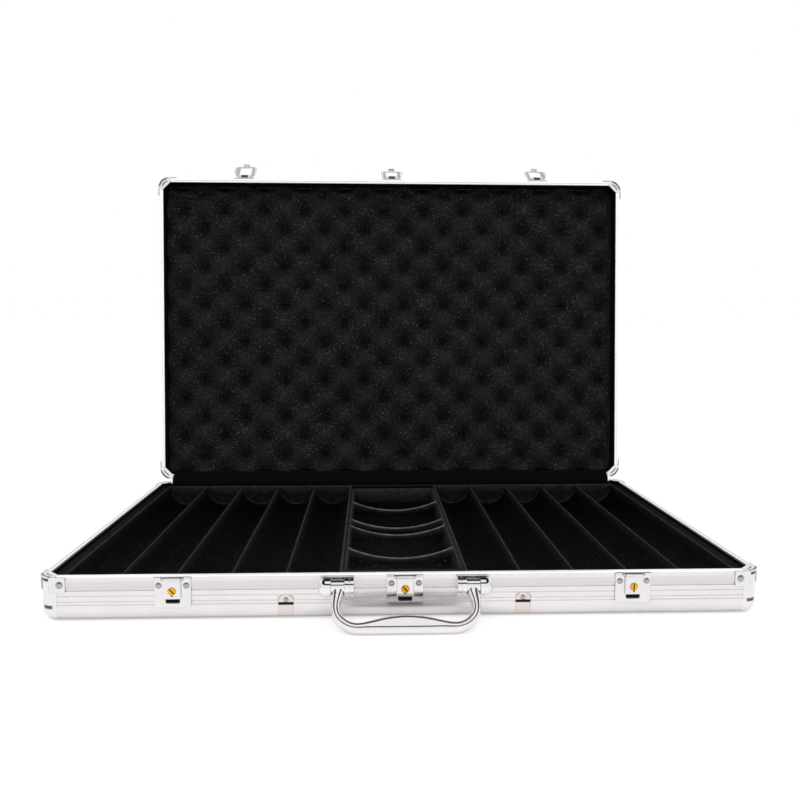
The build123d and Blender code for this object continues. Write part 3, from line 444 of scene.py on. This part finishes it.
ALU = (0.842, 0.812, 0.816)
MATS = {
    "corner_post_plastic": metal("corner_post_aluminium", (0.88, 0.875, 0.88), 0.20, axis="Z", grain=0.10, smudge=0.06),
    "cap_chrome": metal("cap_chrome", (0.88, 0.88, 0.89), 0.08, smudge=0.04, crease_shade=0.6),
    "bracket_steel": metal("bracket_steel", (0.84, 0.845, 0.85), 0.10, smudge=0.06, tint=(0.76, 0.82, 0.83), speck=0.3, edge=0.1, radius=0.0011, crease_shade=0.7),
    "rivet_steel": metal("rivet_steel", (0.46, 0.44, 0.445), 0.12, smudge=0.05, edge=0.0, radius=0.0004, crease_shade=0.8),
    "clip_steel": metal("clip_steel", (0.80, 0.71, 0.675), 0.22, smudge=0.08, edge=0.5, edge_color=(0.30, 0.26, 0.24), radius=0.0004, axis="Z", grain=0.12, speck=0.6, crease_shade=0.7, mark=clip_crease_shade),
    "latch_chrome": metal("latch_chrome", (0.835, 0.825, 0.835), 0.10, smudge=0.05, edge=0.62, edge_color=(0.22, 0.21, 0.22), radius=0.0005, crease_shade=0.85),
    "spring_steel": metal("spring_steel", (0.52, 0.51, 0.50), 0.25, smudge=0.10),
    "pin_steel": metal("pin_steel", (0.74, 0.74, 0.75), 0.18, smudge=0.06),
    "lock_brass": metal("lock_brass", (0.98, 0.58, 0.09), 0.14, smudge=0.05, tint=(0.86, 0.40, 0.03), edge=0.15),
    "handle_bracket_chrome": metal("handle_bracket_chrome", (0.87, 0.875, 0.885), 0.06, smudge=0.04, crease_shade=0.7),
    "handle_chrome": metal("handle_chrome", (0.885, 0.860, 0.863), 0.08, smudge=0.05, metallic=0.95),
    "hinge_steel": metal("hinge_steel", (0.80, 0.80, 0.81), 0.20, smudge=0.08, axis="X", grain=0.10, crease_shade=0.7),
    "wall_board": board_material("wall_board"),
    "panel_laminate": panel_material("panel_laminate"),
    "foot_rubber": rubber_material("foot_rubber"),
    "pad_foam": foam_material("pad_foam", (0.040, 0.040, 0.041), (0.065, 0.065, 0.066)),
    "egg_crate_foam": foam_material("egg_crate_foam", (0.0061, 0.0056, 0.0058), (0.0114, 0.0105, 0.0108), pits=True),
    "tray_flock": cloth("tray_flock", (0.0022, 0.0022, 0.0024), (0.0052, 0.0050, 0.0053), 1500.0, 0.00016, sheen=0.02, dust=(430.0, 0.22, 3.2, 0.9), dust_color=(0.095, 0.090, 0.094), sheen_rough=0.30, wear_and_highlight=(0.120, 0.112, 0.116), painted_front_light=(1.80, 0.10)),
    "lining_fabric": cloth("lining_fabric", (0.0012, 0.0012, 0.0014), (0.0030, 0.0030, 0.0032), 900.0, 0.00025, sheen=0.015, dust=(520.0, 0.13, 4.5, 0.4), dust_color=(0.14, 0.14, 0.14), stretch=(0.45, 1, 1)),
}
RAIL = dict(grain=0.16, smudge=0.05, speck=0.25, crease_shade=0.6, metallic=0.84)
RAILS = {
    ("base", "X"): metal("base_rail_x", ALU, 0.24, axis="X", rim=False, **RAIL),
    ("base", "Y"): metal("base_rail_y", ALU, 0.24, axis="Y", rim=False, **RAIL),
    ("lid", "X"): metal("lid_rail_x", ALU, 0.24, axis="X", rim=True, **RAIL),
    ("lid", "Y"): metal("lid_rail_y", ALU, 0.24, axis="Y", tilt=OPEN, rim=True, **RAIL),
}
for name, ob in NODES.items():
    slot = SLOT_OF[name]
    if slot == "bracket_steel":
        m = metal(name + "_steel", (0.84, 0.845, 0.85), 0.10, smudge=0.06, tint=(0.76, 0.82, 0.83), speck=0.3, edge=0.45, edge_color=(0.24, 0.25, 0.26), radius=0.0007, crease_shade=0.7, mark=reflection_arcs(name.startswith("lid")))
    elif slot == "corner_post_plastic":
        m = metal(name + "_skin", (0.86, 0.848, 0.852), 0.20, axis="Z", tilt=OPEN if name.startswith("lid") else 0.0, grain=0.10, smudge=0.06, crease_shade=0.5, mark=lip_shadow(name.startswith("lid")))
    elif slot == "cap_chrome":
        m = metal(name + "_chrome", (0.87, 0.865, 0.87), 0.08, smudge=0.04, crease_shade=0.6, mark=cap_shade(name.startswith("lid")))
    elif name == "latch_hinge_plates":
        m = metal(name + "_chrome", (0.875, 0.865, 0.875), 0.10, smudge=0.05, edge=0.05, radius=0.0004, crease_shade=0.85, mark=barrel)
    elif slot == "lock_brass":
        m = metal(name + "_brass", (0.93, 0.50, 0.045), 0.14, smudge=0.05, tint=(0.74, 0.30, 0.012), edge=0.25, edge_color=(0.35, 0.16, 0.02), radius=0.0004, mark=slot_shade(name))
    elif slot == "rail_aluminium":
        m = RAILS[name.split("_")[0], "X" if "front" in name or "back" in name else "Y"]
    elif name.startswith("latch_lever_") and slot == "latch_chrome":
        m = metal(name + "_chrome", (0.87, 0.86, 0.87), 0.14, smudge=0.05, edge=0.05, radius=0.0004, crease_shade=0.6, metallic=0.6)
    else:
        m = MATS[slot]
    for s in ob.material_slots:
        s.material = m


# --- mesh helpers --------------------------------------------------------------
def mesh_object(name, verts_mm, faces, mat, smooth_angle=None):
    me = bpy.data.meshes.new(name)
    me.from_pydata((np.asarray(verts_mm, float) / 1000.0).tolist(), [], faces)
    me.validate()
    me.update()
    ob = bpy.data.objects.new(name, me)
    scene.collection.objects.link(ob)
    me.materials.append(mat)
    me.shade_smooth()
    if smooth_angle is not None:
        me.set_sharp_from_angle(angle=math.radians(smooth_angle))
    return ob


def two_sheets(front, back):
    """Closed solid between two (nu, nv, 3) sheets: front faces the side that u x v points to."""
    nu, nv, _ = front.shape
    n = nu * nv
    verts = np.concatenate([front.reshape(-1, 3), back.reshape(-1, 3)])
    i = lambda u, v: u * nv + v
    faces = []
    for u in range(nu - 1):
        for v in range(nv - 1):
            a, b, c, d = i(u, v), i(u + 1, v), i(u + 1, v + 1), i(u, v + 1)
            faces.append((a, b, c, d))
            faces.append((n + d, n + c, n + b, n + a))
    for u in range(nu - 1):
        a, b = i(u, 0), i(u + 1, 0)
        faces.append((b, a, n + a, n + b))
        a, b = i(u, nv - 1), i(u + 1, nv - 1)
        faces.append((a, b, n + b, n + a))
    for v in range(nv - 1):
        a, b = i(0, v), i(0, v + 1)
        faces.append((a, b, n + b, n + a))
        a, b = i(nu - 1, v), i(nu - 1, v + 1)
        faces.append((b, a, n + a, n + b))
    return verts, faces


def ring(sections):
    """Closed tube from a closed loop of closed sections, (n, k, 3)."""
    n, k, _ = sections.shape
    faces = []
    for a in range(n):
        b = (a + 1) % n
        for c in range(k):
            d = (c + 1) % k
            faces.append((a * k + c, b * k + c, b * k + d, a * k + d))
    return sections.reshape(-1, 3), faces


def to_open(p):
    """Turns closed-lid coordinates into the open rest position."""
    p = np.array(p, float)
    dy, dz = p[..., 1] - HINGE_Y, p[..., 2] - HINGE_Z
    c, s = math.cos(-OPEN), math.sin(-OPEN)
    p[..., 1], p[..., 2] = HINGE_Y + dy * c - dz * s, HINGE_Z + dy * s + dz * c
    return p


def to_closed(p):
    p = np.array(p, float)
    dy, dz = p[..., 1] - HINGE_Y, p[..., 2] - HINGE_Z
    c, s = math.cos(OPEN), math.sin(OPEN)
    p[..., 1], p[..., 2] = HINGE_Y + dy * c - dz * s, HINGE_Z + dy * s + dz * c
    return p


def closed_box(node):
    """A lid node's box with the lid closed, in mm."""
    co = to_closed(np.array([v.co for v in NODES[node].data.vertices]) * 1000.0)
    return co.min(0), co.max(0)


def rest_box(node):
    lo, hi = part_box(node)
    return np.array(lo) * 1000.0, np.array(hi) * 1000.0


def smooth_random(seed, n, period, size, closed=False):
    """n values of gentle seeded waviness."""
    rng = np.random.RandomState(seed)
    t = np.arange(n) / max(n, 1)
    out = np.zeros(n)
    for k in range(1, int(period) + 1):
        a, ph = rng.normal() / math.sqrt(k), rng.uniform(0, 2 * math.pi)
        out += a * np.sin(2 * math.pi * k * t + ph)
    return size * out / max(np.abs(out).max(), 1e-9)


def corner_round(x, y, hx, hy, r):
    """Moves grid points of a rectangle so that its corners are round, radius r."""
    ax, ay = np.abs(x), np.abs(y)
    qx, qy = np.clip((ax - (hx - r)) / r, 0, 1), np.clip((ay - (hy - r)) / r, 0, 1)
    nx = np.where((qx > 0) & (qy > 0), hx - r + r * qx * np.sqrt(1 - qy ** 2 / 2), ax)
    ny = np.where((qx > 0) & (qy > 0), hy - r + r * qy * np.sqrt(1 - qx ** 2 / 2), ay)
    return np.sign(x) * nx, np.sign(y) * ny


def vertex_normals(P):
    """Unit normals of a (nu, nv, 3) sheet, from its own quads."""
    nu, nv, _ = P.shape
    N = np.zeros_like(P)
    d1, d2 = P[1:, 1:] - P[:-1, :-1], P[:-1, 1:] - P[1:, :-1]
    f = np.cross(d1, d2)
    for du in (0, 1):
        for dv in (0, 1):
            N[du:nu - 1 + du, dv:nv - 1 + dv] += f
    ln = np.linalg.norm(N, axis=2, keepdims=True)
    return N / np.maximum(ln, 1e-12)


# --- chip tray --------------------------------------------------------------------
T_LO, T_HI = rest_box("chip_tray")
TX, TY, FLANGE = T_HI[0], T_HI[1], T_HI[2]
RIDGE = FLANGE - 1.0
PITCH, FIRST, R_CH, R_CAP = 43.0, 72.0, 20.4, 1.1
AXIS = RIDGE - 0.1


def wall_samples(rf, run, rt):
    q = np.radians([0, 22, 45, 66, 82])
    a = rf * np.sin(q)
    b = rf + np.array([0.0, 0.5, 1.0]) * run
    c = rf + run + rt * (1 - np.cos(np.radians([20, 40, 60, 76, 90])))
    return np.concatenate([a, b, c])


def wall_z(u, low, top, rf, run, rt):
    """Height up a pressed wall: fillet at the foot, draft, rounding at the top."""
    depth = np.maximum(top - low, 1e-6)
    k = np.minimum(1.0, depth / (rf + rt + 0.2))
    total = rf + run + rt
    u = np.clip(u, 0, total)
    z = np.where(u <= rf, low + k * (rf - np.sqrt(np.maximum(rf ** 2 - np.minimum(u, rf) ** 2, 0))), low)
    straight = low + k * rf + (depth - k * (rf + rt)) * np.clip((u - rf) / max(run, 1e-6), 0, 1)
    z = np.where((u > rf) & (u <= rf + run), straight, z)
    z = np.where(u > rf + run, top - k * rt + k * np.sqrt(np.maximum(rt ** 2 - (total - u) ** 2, 0)), z)
    return z


WALL_X = (1.5, 0.7, 0.9)     # foot radius, draft run, top radius: well sides
WALL_Y = (1.3, 0.8, 0.9)     # channel and well ends
RIB = (1.3, 0.5, 1.5)        # dividers
WELL_X = 46.9
WELL_Y = 154.9
END_Y = 169.9
RIBS = (-90.0, -13.0, 13.0, 90.0)

xs, zs = [], []              # right half of the cross-section, from the middle out
wx0 = WELL_X - sum(WALL_X)
for x in np.linspace(0, wx0, 13)[:-1]:
    xs.append(x), zs.append(RIDGE)
for u in wall_samples(*WALL_X):
    xs.append(wx0 + u), zs.append(RIDGE)
n_well = len(xs)
xs.append(48.6), zs.append(RIDGE)
ang0 = math.degrees(math.atan2(1.0, PITCH / 2))
for i in range(5):
    xc = FIRST + PITCH * i
    for a in np.linspace(90, ang0, 6):
        cx, cz = xc - PITCH / 2, RIDGE - R_CAP
        xs.append(cx + R_CAP * math.cos(math.radians(a))), zs.append(cz + R_CAP * math.sin(math.radians(a)))
    last = 360.0 if i == 4 else 360 - ang0
    for a in np.linspace(180 + ang0, last, 30)[1:]:
        xs.append(xc + R_CH * math.cos(math.radians(a))), zs.append(AXIS + R_CH * math.sin(math.radians(a)))
    if i < 4:
        for a in np.linspace(180 - ang0, 90, 6)[1:-1]:
            cx, cz = xc + PITCH / 2, RIDGE - R_CAP
            xs.append(cx + R_CAP * math.cos(math.radians(a))), zs.append(cz + R_CAP * math.sin(math.radians(a)))
xo = FIRST + 4 * PITCH + R_CH + R_CAP
for a in np.linspace(180, 90, 7)[1:]:
    xs.append(xo + R_CAP * math.cos(math.radians(a))), zs.append(FLANGE - R_CAP + R_CAP * math.sin(math.radians(a)))
n_flange = len(xs)
for x in np.linspace(xo, TX - 0.9, 5)[1:]:
    xs.append(x), zs.append(FLANGE)
for a in (25, 50, 72, 90):
    xs.append(TX - 0.9 + 0.9 * math.sin(math.radians(a))), zs.append(FLANGE - 0.9 + 0.9 * math.cos(math.radians(a)))
xs.append(TX), zs.append(FLANGE - 1.5)
xs, zs = np.array(xs), np.array(zs)
X = np.concatenate([-xs[:0:-1], xs])
ZC = np.concatenate([zs[:0:-1], zs])
in_well = np.abs(X) < WELL_X - 1e-6
border_x = np.abs(X) > TX - 0.9 + 1e-6

ys = []                       # back half, from the middle out
for yc in (13.0, 90.0):
    w = sum(RIB)
    ys += list(yc - w + wall_samples(*RIB)) + list(yc + w - wall_samples(*RIB)[::-1][1:])
ys += list(WELL_Y - sum(WALL_Y) + wall_samples(*WALL_Y))
ys += list(END_Y - sum(WALL_Y) + wall_samples(*WALL_Y))
ys += [0.0, 5.0, 26.0, 37.0, 49.0, 61.0, 73.0, 101.0, 113.0, 125.0, 137.0, 146.0, 160.0, 171.9, 173.6]
ys = sorted(ys)
yb = [(TY - 0.9, FLANGE)] + [(TY - 0.9 + 0.9 * math.sin(math.radians(a)), FLANGE - 0.9 + 0.9 * math.cos(math.radians(a))) for a in (25, 50, 72, 90)] + [(TY, FLANGE - 1.5)]
Yh = np.array(ys + [p[0] for p in yb])
ZB = np.array([99.0] * len(ys) + [p[1] for p in yb])
Y = np.concatenate([-Yh[:0:-1], Yh])
ZB = np.concatenate([ZB[:0:-1], ZB])

XX, YY = np.meshgrid(X, Y, indexing="ij")
floor_z = 14.1
rib_r = (46.0 ** 2 + 9.6 ** 2) / (2 * 9.6)
rib_top = 21.0 + rib_r - np.sqrt(rib_r ** 2 - np.minimum(np.abs(XX), 46.0) ** 2)
well = np.full_like(XX, floor_z)
for yc in RIBS:
    d = sum(RIB) - np.abs(YY - yc)
    well = np.where(d > 0, wall_z(d, floor_z, rib_top, *RIB), well)
d = np.abs(YY) - (WELL_Y - sum(WALL_Y))
well = np.where(d > 0, wall_z(d, floor_z, RIDGE, *WALL_Y), well)
d = np.abs(XX) - wx0
well = np.where(d > 0, wall_z(d, well, RIDGE, *WALL_X), well)
ZZ = np.where(in_well[:, None], well, ZC[:, None] + 0 * YY)
d = np.abs(YY) - (END_Y - sum(WALL_Y))
lift = wall_z(d, ZZ, FLANGE, *WALL_Y)
ZZ = np.where((d > 0) & ~border_x[:, None], lift, ZZ)
ZZ = np.minimum(ZZ, ZB[None, :])
ZZ = ZZ + 0.10 * np.sin(XX / 61.0 + 1.3) * np.sin(YY / 47.0) * (ZZ > RIDGE - 0.4) - 0.06 * (ZZ > RIDGE - 0.4)
XR, YR = corner_round(XX, YY, TX, TY, 7.4)
front = np.stack([XR, YR, ZZ], 2)
nrm = vertex_normals(front)
back = front - nrm * 0.7
back[..., 0] = np.clip(back[..., 0], -TX, TX)
back[..., 1] = np.clip(back[..., 1], -TY, TY)
verts, faces = two_sheets(front, back)
tray = mesh_object("chip_tray_flocked", verts, faces, MATS["tray_flock"])
AX, AY = np.abs(XX), np.abs(YY)
bell = lambda v, at, w: np.exp(-((v - at) / w) ** 2)
inside_ends = np.clip((END_Y + 0.6 - AY) / 2.0, 0, 1)
# pale lines painted onto the flock: on ridges, divider tops and rim edges they are rubbed flock and partly a painted
# highlight; along the foot of the end walls and the well sides they are a painted highlight
wear_and_highlight = np.zeros_like(XX)
for i in range(5):
    wear_and_highlight = np.maximum(wear_and_highlight, (0.42 if i else 0.55) * bell(AX, FIRST + PITCH * (i - 0.5), 1.3) * inside_ends)
wear_and_highlight = np.maximum(wear_and_highlight, 0.05 * np.clip((AX - xo + 1.2) / 1.5, 0, 1) * np.clip((TX + 1 - AX) / 3.0, 0, 1))
wear_and_highlight = np.maximum(wear_and_highlight, 0.36 * bell(AX, xo, 1.1) * inside_ends)
in_x, in_y = np.clip((WELL_X - 0.6 - AX) / 1.0, 0, 1), np.clip((WELL_Y + 0.5 - AY) / 1.5, 0, 1)
for yc in RIBS:
    wear_and_highlight = np.maximum(wear_and_highlight, 1.9 * bell(YY, yc, 2.8) * in_x * np.clip((ZZ - rib_top + 2.2) / 2.0, 0, 1) ** 2)
wear_and_highlight = np.maximum(wear_and_highlight, 0.62 * bell(AX, WELL_X - 0.5, 0.9) * in_y)
wear_and_highlight = np.maximum(wear_and_highlight, 0.40 * bell(AY, WELL_Y - 0.5, 0.9) * np.clip((WELL_X - AX) / 1.0, 0, 1))
wear_and_highlight = np.maximum(wear_and_highlight, 0.40 * bell(AY, END_Y - 0.3, 0.8) * np.clip((xo + 1 - AX) / 2.0, 0, 1))
wear_and_highlight = np.maximum(wear_and_highlight, 0.30 * bell(AY, END_Y - sum(WALL_Y) + 1.1, 1.1) * np.exp(-((ZZ - ZC[:, None]) / 1.4) ** 2) * np.clip((xo - AX) / 2.0, 0, 1) * np.clip((AX - 51.0) / 1.0, 0, 1))
wear_and_highlight = np.maximum(wear_and_highlight, 0.10 * bell(AX, wx0 + 1.0, 0.7) * in_y * (AY < WELL_Y - 2.5))
att = tray.data.attributes.new("wear_and_highlight", "FLOAT", "POINT")
att.data.foreach_set("value", np.concatenate([wear_and_highlight.ravel(), 0 * wear_and_highlight.ravel()]).astype(np.float32))
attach(tray, "base")
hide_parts("chip_tray")

# --- egg-crate foam ------------------------------------------------------------------
F_LO, F_HI = closed_box("lid_foam")
fx, fy = F_HI[0], F_HI[1]
z_crest, z_back = F_LO[2], F_HI[2]
LX, LV = 48.8, 46.2
edge_d = np.array([0.0, 0.25, 0.8, 1.6, 2.6])


def lines(half, step):
    inner = np.linspace(-(half - 2.6), half - 2.6, int(2 * (half - 2.6) / step) + 1)
    return np.concatenate([-half + edge_d[:-1], inner, (half - edge_d[:-1])[::-1]])


def edge_drop(a, half, r=2.6):
    d = np.clip(half - np.abs(a), 0, r)
    return r - np.sqrt(np.maximum(r ** 2 - (r - d) ** 2, 0))


fX, fY = np.meshgrid(lines(fx, 2.9), lines(fy, 2.9), indexing="ij")
V = HINGE_Y - fY
V0 = 329.5
wave = np.cos(2 * math.pi * (fX + 9.4) / LX) * np.cos(2 * math.pi * (V - V0) / LV)
damp = 1 - 0.55 * np.clip((np.abs(fX) - (fx - 16.0)) / 16.0, 0, 1) ** 2
top_edge = np.clip((11.0 - (fY + fy)) / 8.5, 0, 1)
wave = wave * (1 - top_edge) + top_edge * np.cos(2 * math.pi * (fX + 9.4) / LX)
shape = 0.5 + 0.5 * wave * damp
fz = z_crest + 0.1 + (10.0 + 4.0 * top_edge) * shape + 0.35 * np.sin(fX / 37.0 + 0.8) * np.cos(fY / 29.0)
fz = np.maximum(fz, z_crest + 0.02)
fz = fz + edge_drop(fX, fx) + edge_drop(fY, fy)
phase = np.cos(2 * math.pi * (fX + 9.4) / LX)
near_top = np.clip((-fY - (fy - 26.0)) / 26.0, 0, 1) ** 2
near_low = np.clip((fY - (fy - 26.0)) / 26.0, 0, 1) ** 2
px = fX * 1.0
py = fY + near_top * 1.7 * (1 + phase) - near_low * 0.6 * (1 + phase)
phase_v = np.cos(2 * math.pi * (V - V0) / LV)
near_side = np.clip((np.abs(fX) - (fx - 22.0)) / 22.0, 0, 1) ** 2
px = px - np.sign(fX) * near_side * 0.25 * (1 - phase_v)
px, py = corner_round(px, py, fx, fy, 7.4)
front = np.stack([px, py, fz], 2)
px, py = corner_round(fX, fY, fx, fy, 7.4)
back = np.stack([px, py, np.full_like(px, z_back)], 2)
verts, faces = two_sheets(back, front)      # the crests face down when the lid is closed
foam = mesh_object("egg_crate_foam", to_open(verts), faces, MATS["egg_crate_foam"], smooth_angle=60)
# depth is positive in the pits and negative on the crests; the foam material paints shade in the pits and a highlight
# on the crests from it
depth = np.where(wave > 0, np.clip(wave, 0, 1) ** 1.35, -np.clip(-wave, 0, 1) ** 1.6)
att = foam.data.attributes.new("depth", "FLOAT", "POINT")
att.data.foreach_set("value", np.concatenate([0 * depth.ravel(), depth.ravel()]).astype(np.float32))
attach(foam, "lid")
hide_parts("lid_foam")

# --- pad under the tray ------------------------------------------------------------------
P_LO, P_HI = rest_box("tray_base_pad")
gx = np.concatenate([P_HI[0] - np.array([0, 0.2, 0.7, 1.5]), np.linspace(P_HI[0] - 2.4, 0, 40)])
gx = np.concatenate([-gx, gx[-2::-1]])
gy = np.concatenate([P_HI[1] - np.array([0, 0.2, 0.7, 1.5]), np.linspace(P_HI[1] - 2.4, 0, 26)])
gy = np.concatenate([-gy, gy[-2::-1]])
gX, gY = np.meshgrid(gx, gy, indexing="ij")
half_t = (P_HI[2] - P_LO[2]) / 2
drop = np.minimum(np.maximum(edge_drop(gX, P_HI[0], 2.0), edge_drop(gY, P_HI[1], 2.0)), half_t - 0.15)
ripple = 0.08 * np.sin(gX / 23.0) * np.sin(gY / 19.0 + 0.7)
qx, qy = corner_round(gX, gY, P_HI[0], P_HI[1], 7.4)
top = np.stack([qx, qy, P_HI[2] - 0.1 - drop + ripple], 2)
low = np.stack([qx, qy, P_LO[2] + drop], 2)
verts, faces = two_sheets(top, low)
pad = mesh_object("tray_cushion", verts, faces, MATS["pad_foam"])
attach(pad, "base")
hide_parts("tray_base_pad")


# --- wall linings -------------------------------------------------------------------------
def rounded_path(hx, hy, r, n):
    """Points about 4 mm apart round a rounded rectangle, and outward normals. The argument n is not used."""
    segs = []
    for cx, cy, a0 in ((hx - r, hy - r, 0), (-hx + r, hy - r, 90), (-hx + r, -hy + r, 180), (hx - r, -hy + r, 270)):
        for a in np.linspace(a0, a0 + 90, 13):
            segs.append((cx + r * math.cos(math.radians(a)), cy + r * math.sin(math.radians(a)), math.cos(math.radians(a)), math.sin(math.radians(a))))
    pts, k = [], len(segs)
    for i in range(k):
        p, q = np.array(segs[i]), np.array(segs[(i + 1) % k])
        ln = np.linalg.norm(q[:2] - p[:2])
        m = max(1, int(round(ln / 4.0)))
        for j in range(m):
            t = j / m
            s = p + (q - p) * t
            s[2:] /= np.linalg.norm(s[2:])
            pts.append(s)
    return np.array(pts)


def lining(name, node, body, lo, hi, opened, seed):
    """A strip of felt bonded round the walls, free at its top edge."""
    hx, hy, z0, z1 = hi[0], hi[1], lo[2], hi[2]
    path = rounded_path(hx, hy, 7.7, 0)
    n = len(path)
    wob = smooth_random(seed, n, 40, 0.22)
    lip = smooth_random(seed + 1, n, 60, 0.28)
    rows = []
    heights = np.linspace(0, 1, 9)
    free = (1 if not opened else 0)
    for i, (x, y, nx, ny) in enumerate(path):
        za, zb = (z0 + 0.3, z1 - 0.35 + lip[i]) if not opened else (z0 + 0.35 - lip[i], z1 - 0.3)
        sec = []
        for h in heights:
            f = h if not opened else 1 - h
            out = 0.02 + 0.0 * f
            sec.append((x - nx * out, y - ny * out, za + (zb - za) * h))
        for h in heights[::-1]:
            f = h if not opened else 1 - h
            thick = 0.55 + (0.13 + 0.5 * wob[i]) * math.sin(math.pi * min(1.0, 0.15 + f * 0.8)) * 0.8
            if h in (heights[0], heights[-1]):
                thick = 0.40
            sec.append((x - nx * thick, y - ny * thick, za + (zb - za) * h))
        rows.append(sec)
    verts, faces = ring(np.array(rows))
    if opened:
        verts = to_open(verts)
    ob = mesh_object(name, verts, faces, MATS["lining_fabric"], smooth_angle=50)
    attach(ob, body)
    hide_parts(node)
    return ob


lining("base_wall_lining", "base_lining", "base", *rest_box("base_lining"), False, 11)
lining("lid_wall_lining", "lid_lining", "lid", *closed_box("lid_lining"), True, 23)

# --- hinge lining: one strip of cloth from the base's wall over the hinge to the lid -----------
H_LO, H_HI = rest_box("hinge_lining")
ctrl = np.array([(-8.7, -3.2), (-8.7, -1.0), (-8.6, 0.8), (-7.4, 2.9), (-5.5, 4.8), (-3.2, 6.9), (-1.3, 8.3), (0.9, 9.3), (3.2, 9.65), (5.6, 9.5), (7.9, 9.35)])
ctrl = ctrl + np.array([HINGE_Y, HINGE_Z])
dist = np.concatenate([[0], np.cumsum(np.linalg.norm(np.diff(ctrl, axis=0), axis=1))])
total = dist[-1]
t = np.linspace(0, total, 49)
path = np.stack([np.interp(t, dist, ctrl[:, 0]), np.interp(t, dist, ctrl[:, 1])], 1)
for _ in range(6):
    path[1:-1] = 0.25 * path[:-2] + 0.5 * path[1:-1] + 0.25 * path[2:]
tan = np.gradient(path, axis=0)
tan /= np.linalg.norm(tan, axis=1, keepdims=True)
nor = np.stack([-tan[:, 1], tan[:, 0]], 1)          # towards the inside of the case
hx0, hx1 = H_LO[0] + 0.2, H_HI[0] - 0.2
U = np.linspace(hx0, hx1, 133)
wav1 = smooth_random(5, len(U), 22, 0.30)
wav2 = smooth_random(6, len(U), 30, 0.22)
s = t / total
crease = 0.34 * np.exp(-((s - 0.30) / 0.035) ** 2) - 0.30 * np.exp(-((s - 0.42) / 0.04) ** 2) + 0.36 * np.exp(-((s - 0.55) / 0.035) ** 2) - 0.28 * np.exp(-((s - 0.67) / 0.045) ** 2)
belly = np.sin(math.pi * s)
front = np.zeros((len(U), len(s), 3))
back = np.zeros_like(front)
for i, x in enumerate(U):
    k = 1.0 + 0.5 * math.sin(x / 34.0) + 0.25 * math.sin(x / 13.0 + 1.0)
    off = crease * k + belly * wav1[i] + np.sin(2 * math.pi * s) * wav2[i]
    p = path + nor * (0.33 + off)[:, None]
    q = path + nor * (-0.33 + off)[:, None]
    front[i] = np.stack([np.full(len(s), x), p[:, 0], p[:, 1]], 1)
    back[i] = np.stack([np.full(len(s), x), q[:, 0], q[:, 1]], 1)
verts, faces = two_sheets(back, front)
strip = mesh_object("hinge_cloth", verts, faces, MATS["lining_fabric"], smooth_angle=60)
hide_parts("hinge_lining")
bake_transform(strip)

# --- floor and light ---------------------------------------------------------------------------
bpy.ops.mesh.primitive_grid_add(x_subdivisions=8, y_subdivisions=8, size=60.0, location=(0, 20.0, CAD_LO.z - 0.0004))
floor = bpy.context.object
floor.name = "studio_floor"
k = material("studio_floor")
n = k.noise(k.obj, 3.0, 2.0)
seen = k.new("ShaderNodeLightPath").outputs["Is Camera Ray"]
pale = k.mix(k.span(n, 0.3, 0.7), (0.93, 0.93, 0.93), (0.94, 0.938, 0.936))
soft = k.new("ShaderNodeLightPath").outputs["Is Diffuse Ray"]
k.set("Base Color", k.mix(seen, k.mix(soft, (0.82, 0.81, 0.815), (0.34, 0.335, 0.335)), k.mix(0.5, pale, (0.0, 0.0, 0.0))))
k.set("Emission Color", pale)
k.set("Emission Strength", k.math("MULTIPLY", seen, 0.58))
k.mat.cycles.emission_sampling = "NONE"
k.set("Roughness", 0.9)
k.set("Specular IOR Level", 0.1)
floor.data.materials.append(k.mat)

world = bpy.data.worlds.new("studio")
scene.world = world
world.use_nodes = True
w = Nodes(world.node_tree)
bg = world.node_tree.nodes["Background"]
sep = w.new("ShaderNodeSeparateXYZ")
w.put(sep.inputs[0], w.new("ShaderNodeTexCoord").outputs["Generated"])
wx, wy, wz = sep.outputs
edge_z = w.span(wy, -0.30, 0.30, 0.60, 0.66, smooth=False)
dark = w.span(w.math("SUBTRACT", wz, edge_z), 0.0, 0.06, 0.0, 1.0)
over = w.math("MULTIPLY", w.span(wz, 0.80, 0.86, 0.0, 1.0), w.span(wy, 0.02, -0.04, 0.0, 1.0))
over = w.math("MULTIPLY", over, w.span(w.math("ABSOLUTE", wx), 0.30, 0.22, 0.0, 1.0))
dark = w.math("MULTIPLY", dark, w.math("SUBTRACT", 1.0, over))
side = w.span(w.math("ABSOLUTE", wx), 0.82, 0.95, 0.0, 0.2)
lum = w.math("SUBTRACT", 1.0, w.math("MULTIPLY", dark, 0.988))
lum = w.math("MULTIPLY", lum, w.math("SUBTRACT", 1.0, side))
lum = w.math("MULTIPLY", lum, 0.93)
rgb = w.new("ShaderNodeCombineColor")
w.put(rgb.inputs[0], lum)
w.put(rgb.inputs[1], w.math("MULTIPLY", lum, 0.985))
w.put(rgb.inputs[2], w.math("MULTIPLY", lum, 0.99))
rays = w.new("ShaderNodeLightPath")
fill = w.math("ADD", w.span(wy, 0.5, -0.9, 0.30, 0.95), w.span(wz, 0.2, 0.95, 0.0, 0.35))
w.put(bg.inputs["Color"], w.mix(rays.outputs["Is Camera Ray"], w.mix(rays.outputs["Is Glossy Ray"], fill, rgb.outputs[0]), (1.0, 1.0, 1.0)))
bg.inputs["Strength"].default_value = 1.0


def light(name, kind, energy, rot, loc=(0, 0, 3), size=1.0, glossy=False, color=(1, 1, 1)):
    d = bpy.data.lights.new(name, kind)
    d.energy = energy
    d.color = color
    if kind == "AREA":
        d.shape, d.size, d.size_y = "RECTANGLE", size, size
    else:
        d.angle = size
    o = bpy.data.objects.new(name, d)
    o.location = loc
    o.rotation_euler = [math.radians(a) for a in rot]
    o.visible_glossy = glossy
    scene.collection.objects.link(o)
    return o


light("overhead_soft", "SUN", 1.15, (26, 0, 0), size=math.radians(100))
light("front_soft", "SUN", 1.15, (66, 4, 0), size=math.radians(80))
